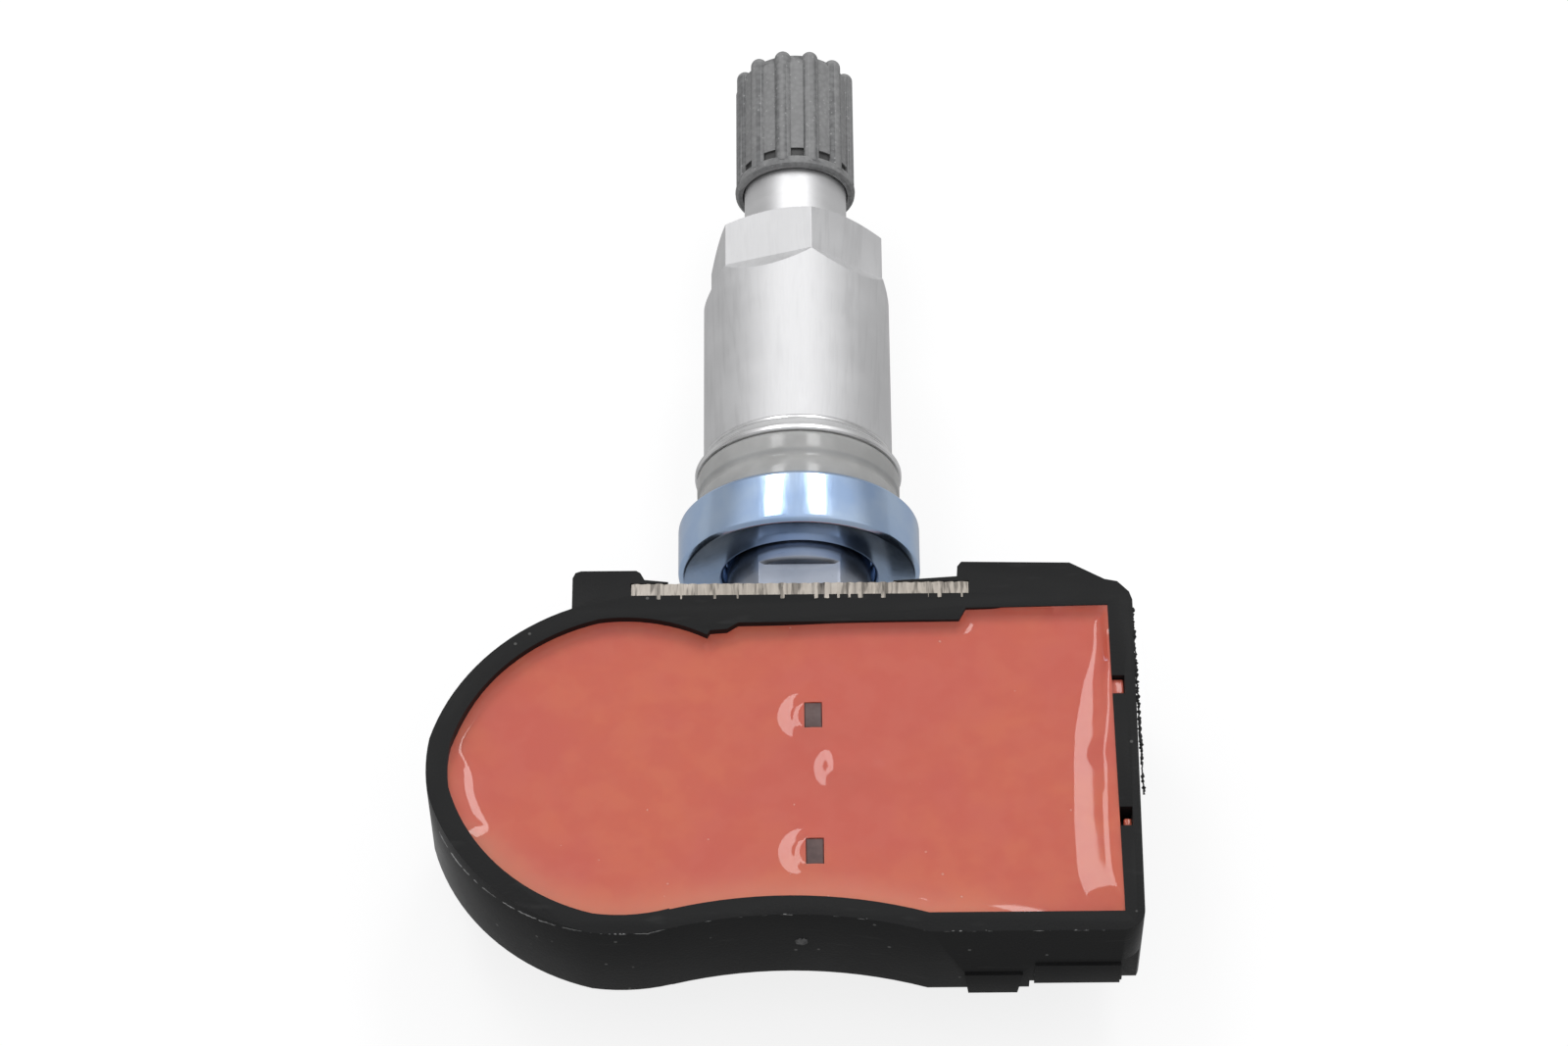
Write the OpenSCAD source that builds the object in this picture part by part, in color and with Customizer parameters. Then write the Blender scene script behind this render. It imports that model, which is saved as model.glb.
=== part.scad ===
// Tyre pressure sensor with a clamp-in metal valve.
// The potted housing carries a serrated steel plate between two ears.
// The valve stem has a T-shaped foot that sits behind the plate and tilts there.
// +X runs along the housing, +Y towards the cap and +Z out of the potted face.
// The origin is on the valve's axis, on top of the grommet, where the wheel rim sits.

/* [Valve stem] */
// Angle of the valve above the housing's plane, degrees
valve_tilt = 5.2; // [0:0.2:10]
// Diameter of the main thread
thread_d = 10; // [9:0.1:11]
// Diameter of the small thread that takes the cap
tip_d = 7.7; // [7.2:0.1:7.8]
// Diameter of the foot that carries the collar
foot_d = 10.5; // [10.2:0.1:11]
// Distance across the two flats that are milled on the foot
foot_flats = 8.7; // [8:0.1:9.4]
// Diameter of the shank between the foot and the T-bar
shank_d = 4.2; // [3.7:0.1:4.2]
// Diameter of the T-bar
bar_d = 4.3; // [4.3:0.1:4.6]
// Length of the T-bar
bar_l = 16; // [14:0.5:17]
// Diameter of the air passage
air_d = 2.4; // [1.6:0.1:2.6]
// Distance from the T-bar's axis to the collar's lower face
bar_to_collar = 7.65; // [7.5:0.05:8.5]
// Height of the foot inside the collar
foot_seat = 2; // [1.5:0.1:2.5]

/* [Collar and grommet] */
// Outer diameter of the collar
collar_d = 17.7; // [16.5:0.1:18.5]
// Height of the collar
collar_h = 4.3; // [3.8:0.1:5]
// Diameter of the collar's lower counterbore
collar_bore = 11.2; // [11:0.1:12]
// Height of the sealing grommet
grommet_h = 4.05; // [3.5:0.05:5]
// Diameter of the grommet's upper band
grommet_d = 15; // [14:0.1:15.4]

/* [Nut and washer] */
// Height of the conical washer under the nut
washer_h = 1.5; // [1:0.1:2]
// Largest diameter of the washer
washer_d = 15.3; // [14.6:0.1:16]
// Diameter of the nut's sleeve
sleeve_d = 14; // [13.5:0.1:14.4]
// Length of the nut's sleeve below the hexagon
sleeve_l = 14.75; // [12:0.25:17]
// Distance across the hexagon's flats
hex_af = 12; // [11:0.1:12.1]
// Height of the hexagon
hex_h = 4.15; // [3.5:0.05:5]

/* [Valve cap] */
// Radial distance from the small thread to the top of the cap's ribs
cap_wall = 0.775; // [0.7:0.025:0.95]
// Height of the cap
cap_h = 11.2; // [10.5:0.1:12]
// Number of grip ribs
rib_count = 12; // [10:1:14]
// Height of the smooth lip at the foot
skirt_h = 1; // [0.8:0.1:1.6]
// Gap between the nut and the cap's skirt
cap_gap = 4.9; // [4.8:0.1:6]
// Thickness of the seal disc in the cap
seal_h = 0.8; // [0.6:0.1:1]

/* [Housing] */
// Outer radius of the round end
lobe_r = 13.65; // [13.2:0.05:14.2]
// Distance of the round end's centre to the left of the valve's axis
lobe_x = 12.5; // [11.5:0.1:13.5]
// Distance from the T-bar's axis to the round end's centre
lobe_y = 11.75; // [11.4:0.05:12.2]
// Distance from the valve's axis to the square end
square_end = 23.7; // [22:0.1:25]
// Thickness of the rim wall
wall = 1.5; // [1.2:0.1:1.8]
// Height of the rim above the T-bar's axis
rim_z = 6.7; // [6.4:0.1:7.2]
// Height of the side wall that shows from above
skirt_wall_h = 7.8; // [7:0.1:8.6]
// Depth of the underside below the T-bar's axis
base_z = 8.3; // [8.2:0.1:9]
// Depth of the hollow in the near side
waist_depth = 1.42; // [0.8:0.05:1.8]
// Gap between the rim and the top of the potting
potting_drop = 0.8; // [0.4:0.1:1]

/* [Serrated plate] */
// Length of the steel plate
plate_l = 24.1; // [23:0.1:25]
// Thickness of the plate
plate_t = 1; // [0.8:0.1:1.2]
// Height of the plate
plate_h = 12; // [11:0.5:13]
// Pitch of the teeth on the plate's inner face
tooth_pitch = 0.8; // [0.6:0.05:1]
// Depth of the teeth
tooth_depth = 0.18; // [0.1:0.02:0.25]

/* [Battery and circuit] */
// Diameter of the coin cell
cell_d = 20; // [18:0.5:20]
// Thickness of the coin cell
cell_h = 5; // [3.2:0.1:5.2]
// Thickness of the circuit board
pcb_t = 1; // [0.8:0.1:1.2]

/* [Hidden] */
$fn = 96;

// Places along the valve's axis, from the collar's lower face towards the cap
flat_end = -1.13;
foot_end = -3;
seat_z = collar_h + grommet_h;
washer_top = seat_z + washer_h;
hex_z = washer_top + sleeve_l;
hex_top = hex_z + hex_h;
cap_z = hex_top + cap_gap;
cap_top = cap_z + cap_h;
cap_roof = 1.1;
cap_bore_top = cap_top - cap_roof;
stem_top = cap_bore_top - seal_h;
thread_top = hex_z - 2.6;
nut_step = thread_top + 0.4;
cap_lip = 0.25;
neck_d = tip_d + 0.1;
cap_d = tip_d + 2 * cap_wall;

// Running clearances on a radius
thread_gap = 0.05;
neck_gap = 0.08;
bar_gap = 0.2;

// Chamfers of the foot and of the collar
foot_chamfer = 0.2;
collar_edge = 0.35;

// The hexagon's near corner stands a little to the right of the view
hex_turn = -20.3;
rib_turn = 17.5;

// Valve core
core_r = 2.4;
core_chamber_r = core_r + thread_gap;
barrel_r = 1.75;
pin_r = 0.5;
pin_bore_r = 0.95;
core_top = stem_top - 0.6;
plug_h = 4.6;
barrel_h = 6.2;
plug_z = core_top - plug_h;
barrel_z = plug_z - barrel_h;
cup_h = 1.3;
pin_travel = 0.9;
gasket_h = 1.8;
guide_h = 1.2;
pin_top = stem_top - 0.35;
pin_collar_z = plug_z - 0.2;
chamber_z = barrel_z - cup_h - pin_travel - 3;
spring_wire = 0.24;
spring_turns = 5;

// The housing is drawn from the T-bar's axis and hangs on the valve's seat
pivot_d = bar_to_collar + seat_z;
pivot_y = -pivot_d * cos(valve_tilt);
pivot_z = -pivot_d * sin(valve_tilt);
bar_r = bar_d / 2;
plate_y = bar_r + 0.12;
plate_back = plate_y + plate_t;
plate_z = rim_z - plate_h;
plate_gap = 0.04;
notch_w = shank_d + 0.6;
notch_top = (shank_d / 2) / cos(18) + plate_back * tan(18) + 0.3;
near_y = -lobe_y - lobe_r;
ledge_z = rim_z - skirt_wall_h;
floor_t = 1;
floor_z = ledge_z + floor_t;
pcb_top = floor_z + pcb_t;
potting_z = rim_z - potting_drop;
end_wall = wall + 0.3;
in_x = square_end - end_wall;
waist_x = -1;
waist_r = 33;
join_x = -9.1;
corner_r = 1.6;
end_taper = 0.45;
lobe_flat = 0.45;
lobe_flank = 2.35;
back_wall = plate_y;
ear_in = plate_l / 2 - 0.75;
ear_out = ear_in + 4.95;
ear_left_y = plate_back + 1.15;
ear_right_y = plate_back + 1.7;
pocket_r = bar_r + bar_gap;
pocket_l = bar_l + 2 * bar_gap;
boss_wall = 1;
boss_z = 4.2;
boss_y = -pocket_r - boss_wall;
boss_x = pocket_l / 2 + boss_wall + 0.2;
foot_x = 15.9;
foot_rise = 0.85;

// Underside: a wedge that is deepest behind the plate, where the valve pulls
wedge_flat_y = -10.5;
wedge_near_y = near_y + 2.4;
chamber_x0 = 1.2;
chamber_x1 = 20.4;
chamber_y1 = boss_y - 1.6;
chamber_y0 = near_y + 5;

// Battery and circuit
cell_r = cell_d / 2;
cell_gap = 0.15;
tab_t = 0.2;
tab_w = 4;
cell_z = floor_z - 1.5;
cell_top = cell_z + cell_h;
pocket_floor = cell_z - tab_t;
board_x0 = -lobe_x + cell_r + cell_gap + 1;
board_gap = 0.15;
post_x = 0.85;
post_w = 1.25;
post_l = 2.1;
post_y1 = -7.5;
post_y2 = -18.6;
post_top = potting_z + 0.12;
tab_x0 = -lobe_x + 3;
tab_y = -15.5;
riser_x = (board_x0 - lobe_x + cell_r) / 2 - tab_t / 2;
chip_x = 11;
chip_y = -13;
chip_l = 7;
chip_w = 5;
chip_h = 1.9;
port_r = 0.9;
chip_bottom = floor_z - chip_h;
port_seat = chip_bottom - 1;
membrane_z = port_seat - 0.3;
gasket_r = 2.1;
coil_x = 11;
coil_y = -7.2;
coil_l = 11;
coil_w = 3.3;
coil_h = 2.6;
coil_wall = 0.6;
antenna_h = 3;
antenna_t = 0.4;
antenna_in = 0.9;
crystal_x = 5;
crystal_y = -13;
cap_list = [[3.6, -9.6], [3.6, -16.4], [16.5, -12], [16.5, -15]];

// Points along a helix of a given radius, height and number of turns
function helix(r, h, turns, steps) =
    [for (i = [0:turns * steps]) let (a = 360 * i / steps) [r * cos(a), r * sin(a), h * i / turns / steps]];

// A closed wire of round section along a helix
module coil(r, h, turns, wire_r) {
    steps = 18;
    sides = 8;
    path = helix(r, h, turns, steps);
    last = len(path) - 1;
    ring = [for (i = [0:last]) for (k = [0:sides - 1])
        let (a = 360 * i / steps, b = 360 * k / sides, q = r + wire_r * cos(b))
        [q * cos(a), q * sin(a), path[i][2] + wire_r * sin(b)]];
    skin = [for (i = [0:last - 1]) for (k = [0:sides - 1])
        let (n = (k + 1) % sides)
        [i * sides + k, i * sides + n, (i + 1) * sides + n, (i + 1) * sides + k]];
    first_end = [for (k = [sides - 1:-1:0]) k];
    last_end = [for (k = [0:sides - 1]) last * sides + k];
    polyhedron(points = ring, faces = concat(skin, [first_end, last_end]));
}

// Valve pieces are drawn with the axis upright and then laid along +Y
module on_valve() {
    rotate([valve_tilt - 90, 0, 0]) translate([0, 0, -seat_z]) children();
}

// Housing pieces are drawn from the T-bar's axis
module on_housing() {
    translate([0, pivot_y, pivot_z]) children();
}

// A turned bar with a chamfer at either end
module turned(r, z0, z1, low = 0, high = 0) {
    rotate_extrude()
        polygon([[0, z0], [r - low, z0], [r, z0 + low], [r, z1 - high], [r - high, z1], [0, z1]]);
}

// A ring of rectangular section
module tube(r_out, r_in, z0, z1) {
    translate([0, 0, z0]) difference() {
        cylinder(r = r_out, h = z1 - z0);
        translate([0, 0, -1]) cylinder(r = r_in, h = z1 - z0 + 2);
    }
}

// Main thread, neck and tip are one turned bar on a T-shaped foot
module valve_stem() {
    color("lightgray") on_valve() difference() {
        union() {
            translate([-bar_l / 2, 0, -bar_to_collar]) rotate([0, 90, 0]) cylinder(r = bar_r, h = bar_l);
            translate([0, 0, -bar_to_collar]) cylinder(r = shank_d / 2, h = bar_to_collar + foot_end + 0.5);
            intersection() {
                turned(foot_d / 2, foot_end, flat_end + 0.2, foot_chamfer, 0);
                translate([-foot_d, -foot_flats / 2, foot_end - 1]) cube([2 * foot_d, foot_flats, 5]);
            }
            turned(foot_d / 2, flat_end, foot_seat, 0.2, 0);
            turned(thread_d / 2, foot_seat - 0.5, thread_top, 0, 0.6);
            turned(neck_d / 2, thread_top - 1, cap_z + cap_lip, 0, (neck_d - tip_d) / 2 + 0.01);
            turned(tip_d / 2, cap_z, stem_top, 0, 0.4);
        }
        translate([0, 0, chamber_z]) cylinder(r = core_chamber_r, h = stem_top);
        translate([0, 0, foot_end - 1.05]) cylinder(r = air_d / 2, h = chamber_z);
        translate([0, foot_d, foot_end - 1.05]) rotate([90, 0, 0]) cylinder(r = 0.8, h = 2 * foot_d);
    }
}

// Flat steel collar that spreads the clamping force under the grommet
module collar_ring() {
    r = collar_d / 2;
    bore = thread_d / 2 + 0.06;
    color("lightsteelblue") on_valve() rotate_extrude() polygon([
        [collar_bore / 2 + 0.25, 0], [r - collar_edge, 0], [r, collar_edge], [r, collar_h - collar_edge],
        [r - collar_edge, collar_h], [bore, collar_h], [bore, foot_seat],
        [collar_bore / 2, foot_seat], [collar_bore / 2, 0.25]]);
}

// Rubber grommet with a lip at its foot and a step below its upper band
module grommet() {
    r = grommet_d / 2;
    bore = thread_d / 2 + 0.06;
    z = collar_h;
    color("silver") on_valve() rotate_extrude() polygon([
        [bore, z], [r + 0.28, z], [r + 0.28, z + 0.25], [r + 0.12, z + 0.4],
        [r + 0.05, z + grommet_h * 0.45], [r - 0.18, z + grommet_h * 0.52],
        [r, z + grommet_h - 0.25], [r - 0.15, z + grommet_h], [bore, z + grommet_h]]);
}

// Conical pressure washer that stays on the nut
module clamp_washer() {
    bore = thread_d / 2 + 0.08;
    color("gainsboro") on_valve() rotate_extrude() polygon([
        [bore, seat_z], [washer_d / 2 - 0.1, seat_z], [washer_d / 2, seat_z + 0.1],
        [washer_d / 2, seat_z + 0.35], [sleeve_d / 2 + 0.05, washer_top - 0.15],
        [sleeve_d / 2, washer_top], [bore, washer_top]]);
}

// Long sleeve nut with the hexagon at its top; each flat runs out in a slope
module sleeve_nut() {
    r = sleeve_d / 2;
    flat = hex_af / 2;
    color("silver") on_valve() difference() {
        rotate_extrude() polygon([
            [0, washer_top], [r - 0.08, washer_top], [r, washer_top + 0.08],
            [r, hex_top - 0.55], [flat - 0.1, hex_top], [0, hex_top]]);
        for (k = [0:5]) rotate([0, 0, hex_turn + 30 + 60 * k]) translate([0, r, 0]) rotate([90, 0, 0])
            linear_extrude(sleeve_d) polygon([
                [flat, hex_z], [flat + 2, hex_z - 2.8], [flat + 4, hex_z - 2.8],
                [flat + 4, hex_top + 1], [flat, hex_top + 1]]);
        translate([0, 0, washer_top - 1]) cylinder(r = thread_d / 2 + thread_gap, h = nut_step - washer_top + 1);
        translate([0, 0, nut_step - 1]) cylinder(r = neck_d / 2 + neck_gap, h = hex_top - nut_step + 2);
    }
}

// One grip rib with a rounded end
module cap_rib(r, out, z0, z1) {
    translate([out - r, 0, z0]) cylinder(r = r, h = z1 - z0, $fn = 32);
    translate([out - r, 0, z1]) sphere(r = r, $fn = 32);
}

// Moulded cap: smooth lip, grip ribs, a notch at the foot of each panel and a scalloped crown
module valve_cap() {
    out = cap_d / 2;
    rib_r = 0.64;
    panel = out - 0.42;
    skirt = cap_z + skirt_h;
    color("dimgray") on_valve() difference() {
        union() {
            rotate_extrude() polygon(concat(
                [[0, cap_z], [out - 0.25, cap_z], [out - 0.05, cap_z + 0.15], [out - 0.02, cap_z + 0.4],
                 [out - 0.1, skirt - 0.2], [panel, skirt], [panel, cap_top - 1.5]],
                [for (a = [15:15:90]) [panel - 1.3 + 1.3 * cos(a), cap_top - 1.5 + 1.3 * sin(a)]],
                [[0, cap_top - 0.2]]));
            for (k = [0:rib_count - 1]) rotate([0, 0, rib_turn + 360 * k / rib_count])
                cap_rib(rib_r, out, skirt - 0.5, cap_top - 1);
        }
        translate([0, 0, cap_z - 1]) cylinder(r = tip_d / 2 + neck_gap, h = cap_bore_top - cap_z + 1);
        translate([0, 0, cap_z - 1]) cylinder(r = neck_d / 2 + 0.15, h = 1 + cap_lip + 0.15);
        for (k = [0:rib_count - 1]) rotate([0, 0, rib_turn + 360 * (k + 0.5) / rib_count])
            translate([panel - 0.1, -0.42, skirt - 0.13]) cube([1, 0.84, 0.77]);
    }
}

// Rubber disc that seals on the stem's end
module cap_seal() {
    color("black") on_valve()
        translate([0, 0, stem_top]) cylinder(r = tip_d / 2 - 0.2, h = seal_h);
}

// Threaded plug and barrel of the valve core
module core_body() {
    color("khaki") on_valve() difference() {
        union() {
            turned(core_r, plug_z, core_top, 0.3, 0.2);
            turned(barrel_r, barrel_z, plug_z + 0.5, 0.1, 0);
        }
        translate([0, 0, barrel_z + guide_h]) cylinder(r = pin_bore_r + 0.35, h = barrel_h - guide_h);
        translate([0, 0, barrel_z - 1]) cylinder(r = pin_bore_r, h = core_top);
        for (s = [-1, 1]) translate([s * 1.75 - 0.35, -core_r, core_top - 1.6])
            cube([0.7, 2 * core_r, 2]);
    }
}

// Soft sleeve that seals the core's barrel in the stem
module core_gasket() {
    color("red") on_valve()
        tube(core_chamber_r - 0.03, barrel_r + 0.02, plug_z - gasket_h - 0.5, plug_z - 0.5);
}

// Depressor pin with the shoulder that the spring pushes on
module core_pin() {
    color("khaki") on_valve() union() {
        turned(pin_r, barrel_z - cup_h - 0.8, pin_top, 0.1, 0.15);
        turned(pin_bore_r - 0.1, pin_collar_z, pin_collar_z + 0.8, 0.1, 0.1);
        turned(barrel_r, barrel_z - cup_h - 0.5, barrel_z - cup_h, 0.1, 0);
    }
}

// Rubber cup that the pin pulls against the barrel's end
module core_cup() {
    color("black") on_valve() tube(barrel_r + 0.1, pin_r, barrel_z - cup_h, barrel_z);
}

// Spring between the barrel's guide and the pin's shoulder
module core_spring() {
    low = barrel_z + guide_h + spring_wire / 2;
    high = pin_collar_z - spring_wire / 2;
    color("gainsboro") on_valve()
        translate([0, 0, low]) coil(pin_r + spring_wire / 2 + 0.1, high - low, spring_turns, spring_wire / 2);
}

// The near side is an arc that blends the round end into the square one
module waist(grow, h) {
    translate([waist_x, near_y + waist_depth + grow - waist_r, -1])
        cylinder(r = waist_r, h = h + 2, $fn = 180);
}

// Ears, their lips beside the plate and the square end, seen from above
module rear_outline() {
    polygon([
        [-ear_out, -6], [-ear_out, ear_left_y - 0.6], [-ear_out + 0.2, ear_left_y - 0.15],
        [-ear_out + 0.6, ear_left_y], [-ear_in - 0.4, ear_left_y], [-ear_in - 0.1, ear_left_y - 0.2],
        [-ear_in + 0.2, plate_back + 0.35], [-ear_in + 1.9, plate_back + 0.15], [-ear_in + 1.9, back_wall],
        [ear_in - 4.6, back_wall], [ear_in - 4.6, plate_back + 0.12], [ear_in, plate_back + 0.45],
        [ear_in, ear_right_y - 0.4], [ear_in + 0.3, ear_right_y], [ear_out + 3.1, ear_right_y - 0.15],
        [square_end - 1.9, plate_back + 0.1], [square_end - 1, plate_back - 0.1],
        [square_end - 0.2, plate_back - 1], [square_end, plate_back - 1.7],
        [square_end - end_taper, near_y + corner_r], [join_x, near_y + corner_r], [join_x, -6]]);
}

// The round end is a little flatter on its two diagonals than a circle
module lobe(r, h) {
    d = (lobe_flank + lobe_flat) / sqrt(2);
    translate([-lobe_x, -lobe_y, 0]) intersection() {
        cylinder(r = r, h = h, $fn = 180);
        translate([d, -d, 0]) cylinder(r = r + lobe_flank, h = h, $fn = 180);
        translate([d, d, 0]) cylinder(r = r + lobe_flank, h = h, $fn = 180);
    }
}

// Outside of the housing seen from above, as a solid of height h
module outer_body(h) {
    last_x = square_end - end_taper - corner_r;
    difference() {
        union() {
            lobe(lobe_r, h);
            linear_extrude(h) rear_outline();
            translate([join_x, near_y, 0]) cube([last_x - join_x, corner_r + 1, h]);
            translate([last_x, near_y + corner_r, 0]) cylinder(r = corner_r, h = h);
        }
        waist(0, h);
    }
}

// Inside of the rim seen from above, as a solid of height h
module inner_body(h) {
    near_in = near_y + wall;
    difference() {
        union() {
            lobe(lobe_r - wall, h);
            linear_extrude(h) polygon([
                [join_x, near_in], [join_x, -6], [-6.4, -0.75], [-5.2, -0.65], [-4.4, -0.1],
                [ear_in, -0.02], [ear_in + 0.5, back_wall - 1.3], [in_x, back_wall - 1.1],
                [in_x, near_in]]);
        }
        waist(wall, h);
    }
}

// Closed box in the wall that holds the T-bar
module bar_boss() {
    translate([-boss_x, boss_y, -boss_z]) cube([2 * boss_x, back_wall - boss_y, 2 * boss_z]);
}

// Room for the T-bar and for the shank as it tilts
module bar_pocket() {
    translate([-pocket_l / 2, 0, 0]) rotate([0, 90, 0]) cylinder(r = pocket_r, h = pocket_l);
    translate([-pocket_l / 2, 0, -pocket_r]) cube([pocket_l, back_wall + 1, 2 * pocket_r]);
    translate([-notch_w / 2, 0, -notch_top + 0.1]) cube([notch_w, back_wall + 1, 2 * notch_top - 0.2]);
}

// Slot that takes the plate from above
module plate_slot() {
    translate([-plate_l / 2 - plate_gap, plate_y, plate_z - plate_gap])
        cube([plate_l + 2 * plate_gap, plate_t + plate_gap, plate_h + 5]);
}

// Side view of the underside, drawn in Y and Z
module wedge_profile(inset) {
    polygon([
        [wedge_near_y + inset, ledge_z + 0.5], [wedge_near_y + inset, ledge_z - 0.6 + inset * 0.4],
        [wedge_flat_y + inset * 0.4, -base_z + inset], [plate_back + 2 - inset, -base_z + inset],
        [plate_back + 2 - inset, ledge_z + 0.5]]);
}

module along_x(x0, x1) {
    translate([x0, 0, 0]) rotate([90, 0, 90]) linear_extrude(x1 - x0) children();
}

module underside() {
    intersection() {
        along_x(-lobe_x - lobe_r, square_end) wedge_profile(0);
        translate([0.4, 2.2, -base_z]) outer_body(base_z + ledge_z + 0.5);
        translate([0, 0, -base_z]) outer_body(base_z + ledge_z + 0.5);
        translate([-lobe_x - lobe_r + 0.8, -60, -base_z])
            cube([lobe_x + lobe_r + square_end - 2, 120, base_z + ledge_z + 0.5]);
    }
}

// Moulded housing: rim, ears, wedge underside, T-bar pocket and the cavities inside
module housing() {
    color("#26282a") on_housing() difference() {
        union() {
            difference() {
                translate([0, 0, ledge_z]) outer_body(skirt_wall_h);
                translate([0, 0, pcb_top]) inner_body(rim_z);
                translate([0, 0, floor_z]) board_body(board_gap, pcb_t + 0.1);
            }
            underside();
            bar_boss();
            near_feet();
        }
        near_cuts();
        bar_pocket();
        plate_slot();
        cell_pocket();
        lower_chamber();
        translate([chip_x, chip_y, -base_z - 1]) cylinder(r = port_r, h = base_z);
        end_notches();
    }
}

// Seat of the cell, with room for the strip that runs under it
module cell_pocket() {
    translate([-lobe_x, -lobe_y, pocket_floor]) cylinder(r = cell_r + cell_gap, h = rim_z);
    translate([-lobe_x, tab_y - tab_w / 2, pocket_floor])
        cube([lobe_x + riser_x + tab_t + 0.1, tab_w, rim_z]);
}

// Locating ledge and slanted pad on the near side, by the square end
module near_feet() {
    translate([foot_x, near_y - 0.2, ledge_z + foot_rise]) cube([square_end - foot_x - 1.9, 1.4, 2.4]);
    translate([0, near_y + 1.2, 0]) rotate([90, 0, 0]) linear_extrude(1.4) polygon([
        [foot_x - 4.5, ledge_z - 0.45], [foot_x - 1.1, ledge_z - 0.45], [foot_x - 0.8, ledge_z + 2],
        [foot_x - 4.8, ledge_z + 2]]);
}

// The near wall is cut higher beside the ledge, and higher still at the corner
module near_cuts() {
    translate([foot_x - 0.3, near_y - 1, ledge_z - 1]) cube([square_end - foot_x, 1.8, foot_rise + 1]);
    translate([square_end - 1.75, near_y - 1, ledge_z - 1]) cube([3, 1.8, foot_rise + 3.9]);
}

// Two open slots in the square end's wall
module end_notches() {
    for (y = [-5.6, -16.4]) translate([in_x - 0.5, y - 0.75, potting_z - 1.2])
        cube([1.4, 1.5, 5]);
}

// Chamber under the circuit board, open to the pressure port
module lower_chamber() {
    difference() {
        along_x(chamber_x0, chamber_x1) polygon([
            [chamber_y0, floor_z + 0.01], [chamber_y0, ledge_z - 0.9], [wedge_flat_y + 0.6, -base_z + 1.4],
            [chamber_y1, -base_z + 1.4], [chamber_y1, floor_z + 0.01]]);
        port_tower();
    }
}

// Socket on the floor that holds the port's membrane and gasket
module port_tower() {
    translate([chip_x, chip_y, 0]) difference() {
        translate([0, 0, -base_z]) cylinder(r = gasket_r + 0.9, h = base_z + chip_bottom - 0.15);
        translate([0, 0, membrane_z]) cylinder(r = gasket_r + 0.03, h = base_z);
    }
}

// The circuit board, which stops short of the boss and the cell
module board_body(grow, h) {
    near_in = near_y + wall + board_gap - grow;
    side_x = in_x - board_gap + grow;
    difference() {
        intersection() {
            inner_body(h);
            union() {
                translate([board_x0 - grow, near_in, 0])
                    cube([side_x - board_x0 + grow, boss_y - 1 + grow - near_in, h]);
                translate([boss_x + 1.2 - grow, near_in, 0])
                    cube([side_x - boss_x - 1.2 + grow, back_wall - 1.3 - board_gap + grow - near_in, h]);
            }
        }
        waist(wall + board_gap - grow, h);
    }
}

module pcb() {
    color("darkgreen") on_housing() difference() {
        translate([0, 0, floor_z]) board_body(0, pcb_t);
        posts();
    }
}

// Cast resin that seals the cavity; the two contact posts stand through it
module potting() {
    color("indianred") on_housing() difference() {
        translate([0, 0, pcb_top]) inner_body(potting_z - pcb_top);
        bar_boss();
        cell_solid();
        posts();
        coil_core_solid();
        coil_winding_solid();
        antenna_solid();
        crystal_solid();
        capacitors_solid();
        tab_plus_solid();
        tab_minus_solid();
    }
}

// Steel plate with toothed inner face and a notch for the shank
module serrated_plate() {
    count = floor(plate_l / tooth_pitch);
    color("tan") on_housing() difference() {
        translate([-plate_l / 2, plate_y, plate_z]) cube([plate_l, plate_t, plate_h]);
        translate([-notch_w / 2, plate_y - 1, plate_z - 1]) cube([notch_w, plate_t + 2, notch_top - plate_z + 1]);
        for (i = [0:count]) translate([(i - count / 2) * tooth_pitch, plate_y, plate_z - 1])
            linear_extrude(plate_h + 2) polygon([
                [-tooth_depth, -0.01], [tooth_depth, -0.01], [0, tooth_depth]]);
    }
}

module cell_solid() {
    translate([-lobe_x, -lobe_y, cell_z]) rotate_extrude() polygon([
        [0, 0], [cell_r - 1.1, 0], [cell_r - 1.1, 0.25], [cell_r - 0.5, 0.3], [cell_r, 0.9],
        [cell_r, cell_h - 0.3], [cell_r - 0.3, cell_h], [0, cell_h]]);
}

module coin_cell() {
    color("silver") on_housing() cell_solid();
}

// Strip from the top of the cell to the first post
module tab_plus_solid() {
    translate([tab_x0, post_y1 - tab_w / 2 + 1, cell_top])
        cube([post_x - post_w / 2 - tab_x0, tab_w - 1, tab_t]);
    translate([post_x - post_w / 2 - tab_t, post_y1 - 1, cell_top - 1.6]) cube([tab_t, 2, 1.6]);
}

module battery_tab_plus() {
    color("gainsboro") on_housing() tab_plus_solid();
}

// Strip from under the cell, up past its edge and across to the second post
module tab_minus_solid() {
    top = pcb_top + 1.2;
    translate([-lobe_x - 2, tab_y - 1.5, cell_z - tab_t]) cube([riser_x + tab_t + lobe_x + 2, 3, tab_t]);
    translate([riser_x, tab_y - 1.5, cell_z - tab_t]) cube([tab_t, 3, top - cell_z + tab_t]);
    translate([riser_x, post_y2 - 1, top]) cube([post_x - post_w / 2 - riser_x, tab_y + 1.5 - post_y2 + 1, tab_t]);
}

module battery_tab_minus() {
    color("gainsboro") on_housing() tab_minus_solid();
}

module posts() {
    for (y = [post_y1, post_y2]) translate([post_x - post_w / 2, y - post_l / 2, floor_z])
        cube([post_w, post_l, post_top - floor_z]);
}

module contact_posts() {
    color("#4a3436") on_housing() posts();
}

module pressure_chip() {
    color("#222222") on_housing() difference() {
        translate([chip_x - chip_l / 2, chip_y - chip_w / 2, chip_bottom]) cube([chip_l, chip_w, chip_h]);
        translate([chip_x, chip_y, chip_bottom - 1]) cylinder(r = 0.6, h = 1.6);
    }
}

// Rubber ring between the chip and the port
module port_gasket() {
    color("dimgray") on_housing() translate([chip_x, chip_y, 0])
        tube(gasket_r, port_r, port_seat, chip_bottom);
}

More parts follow.
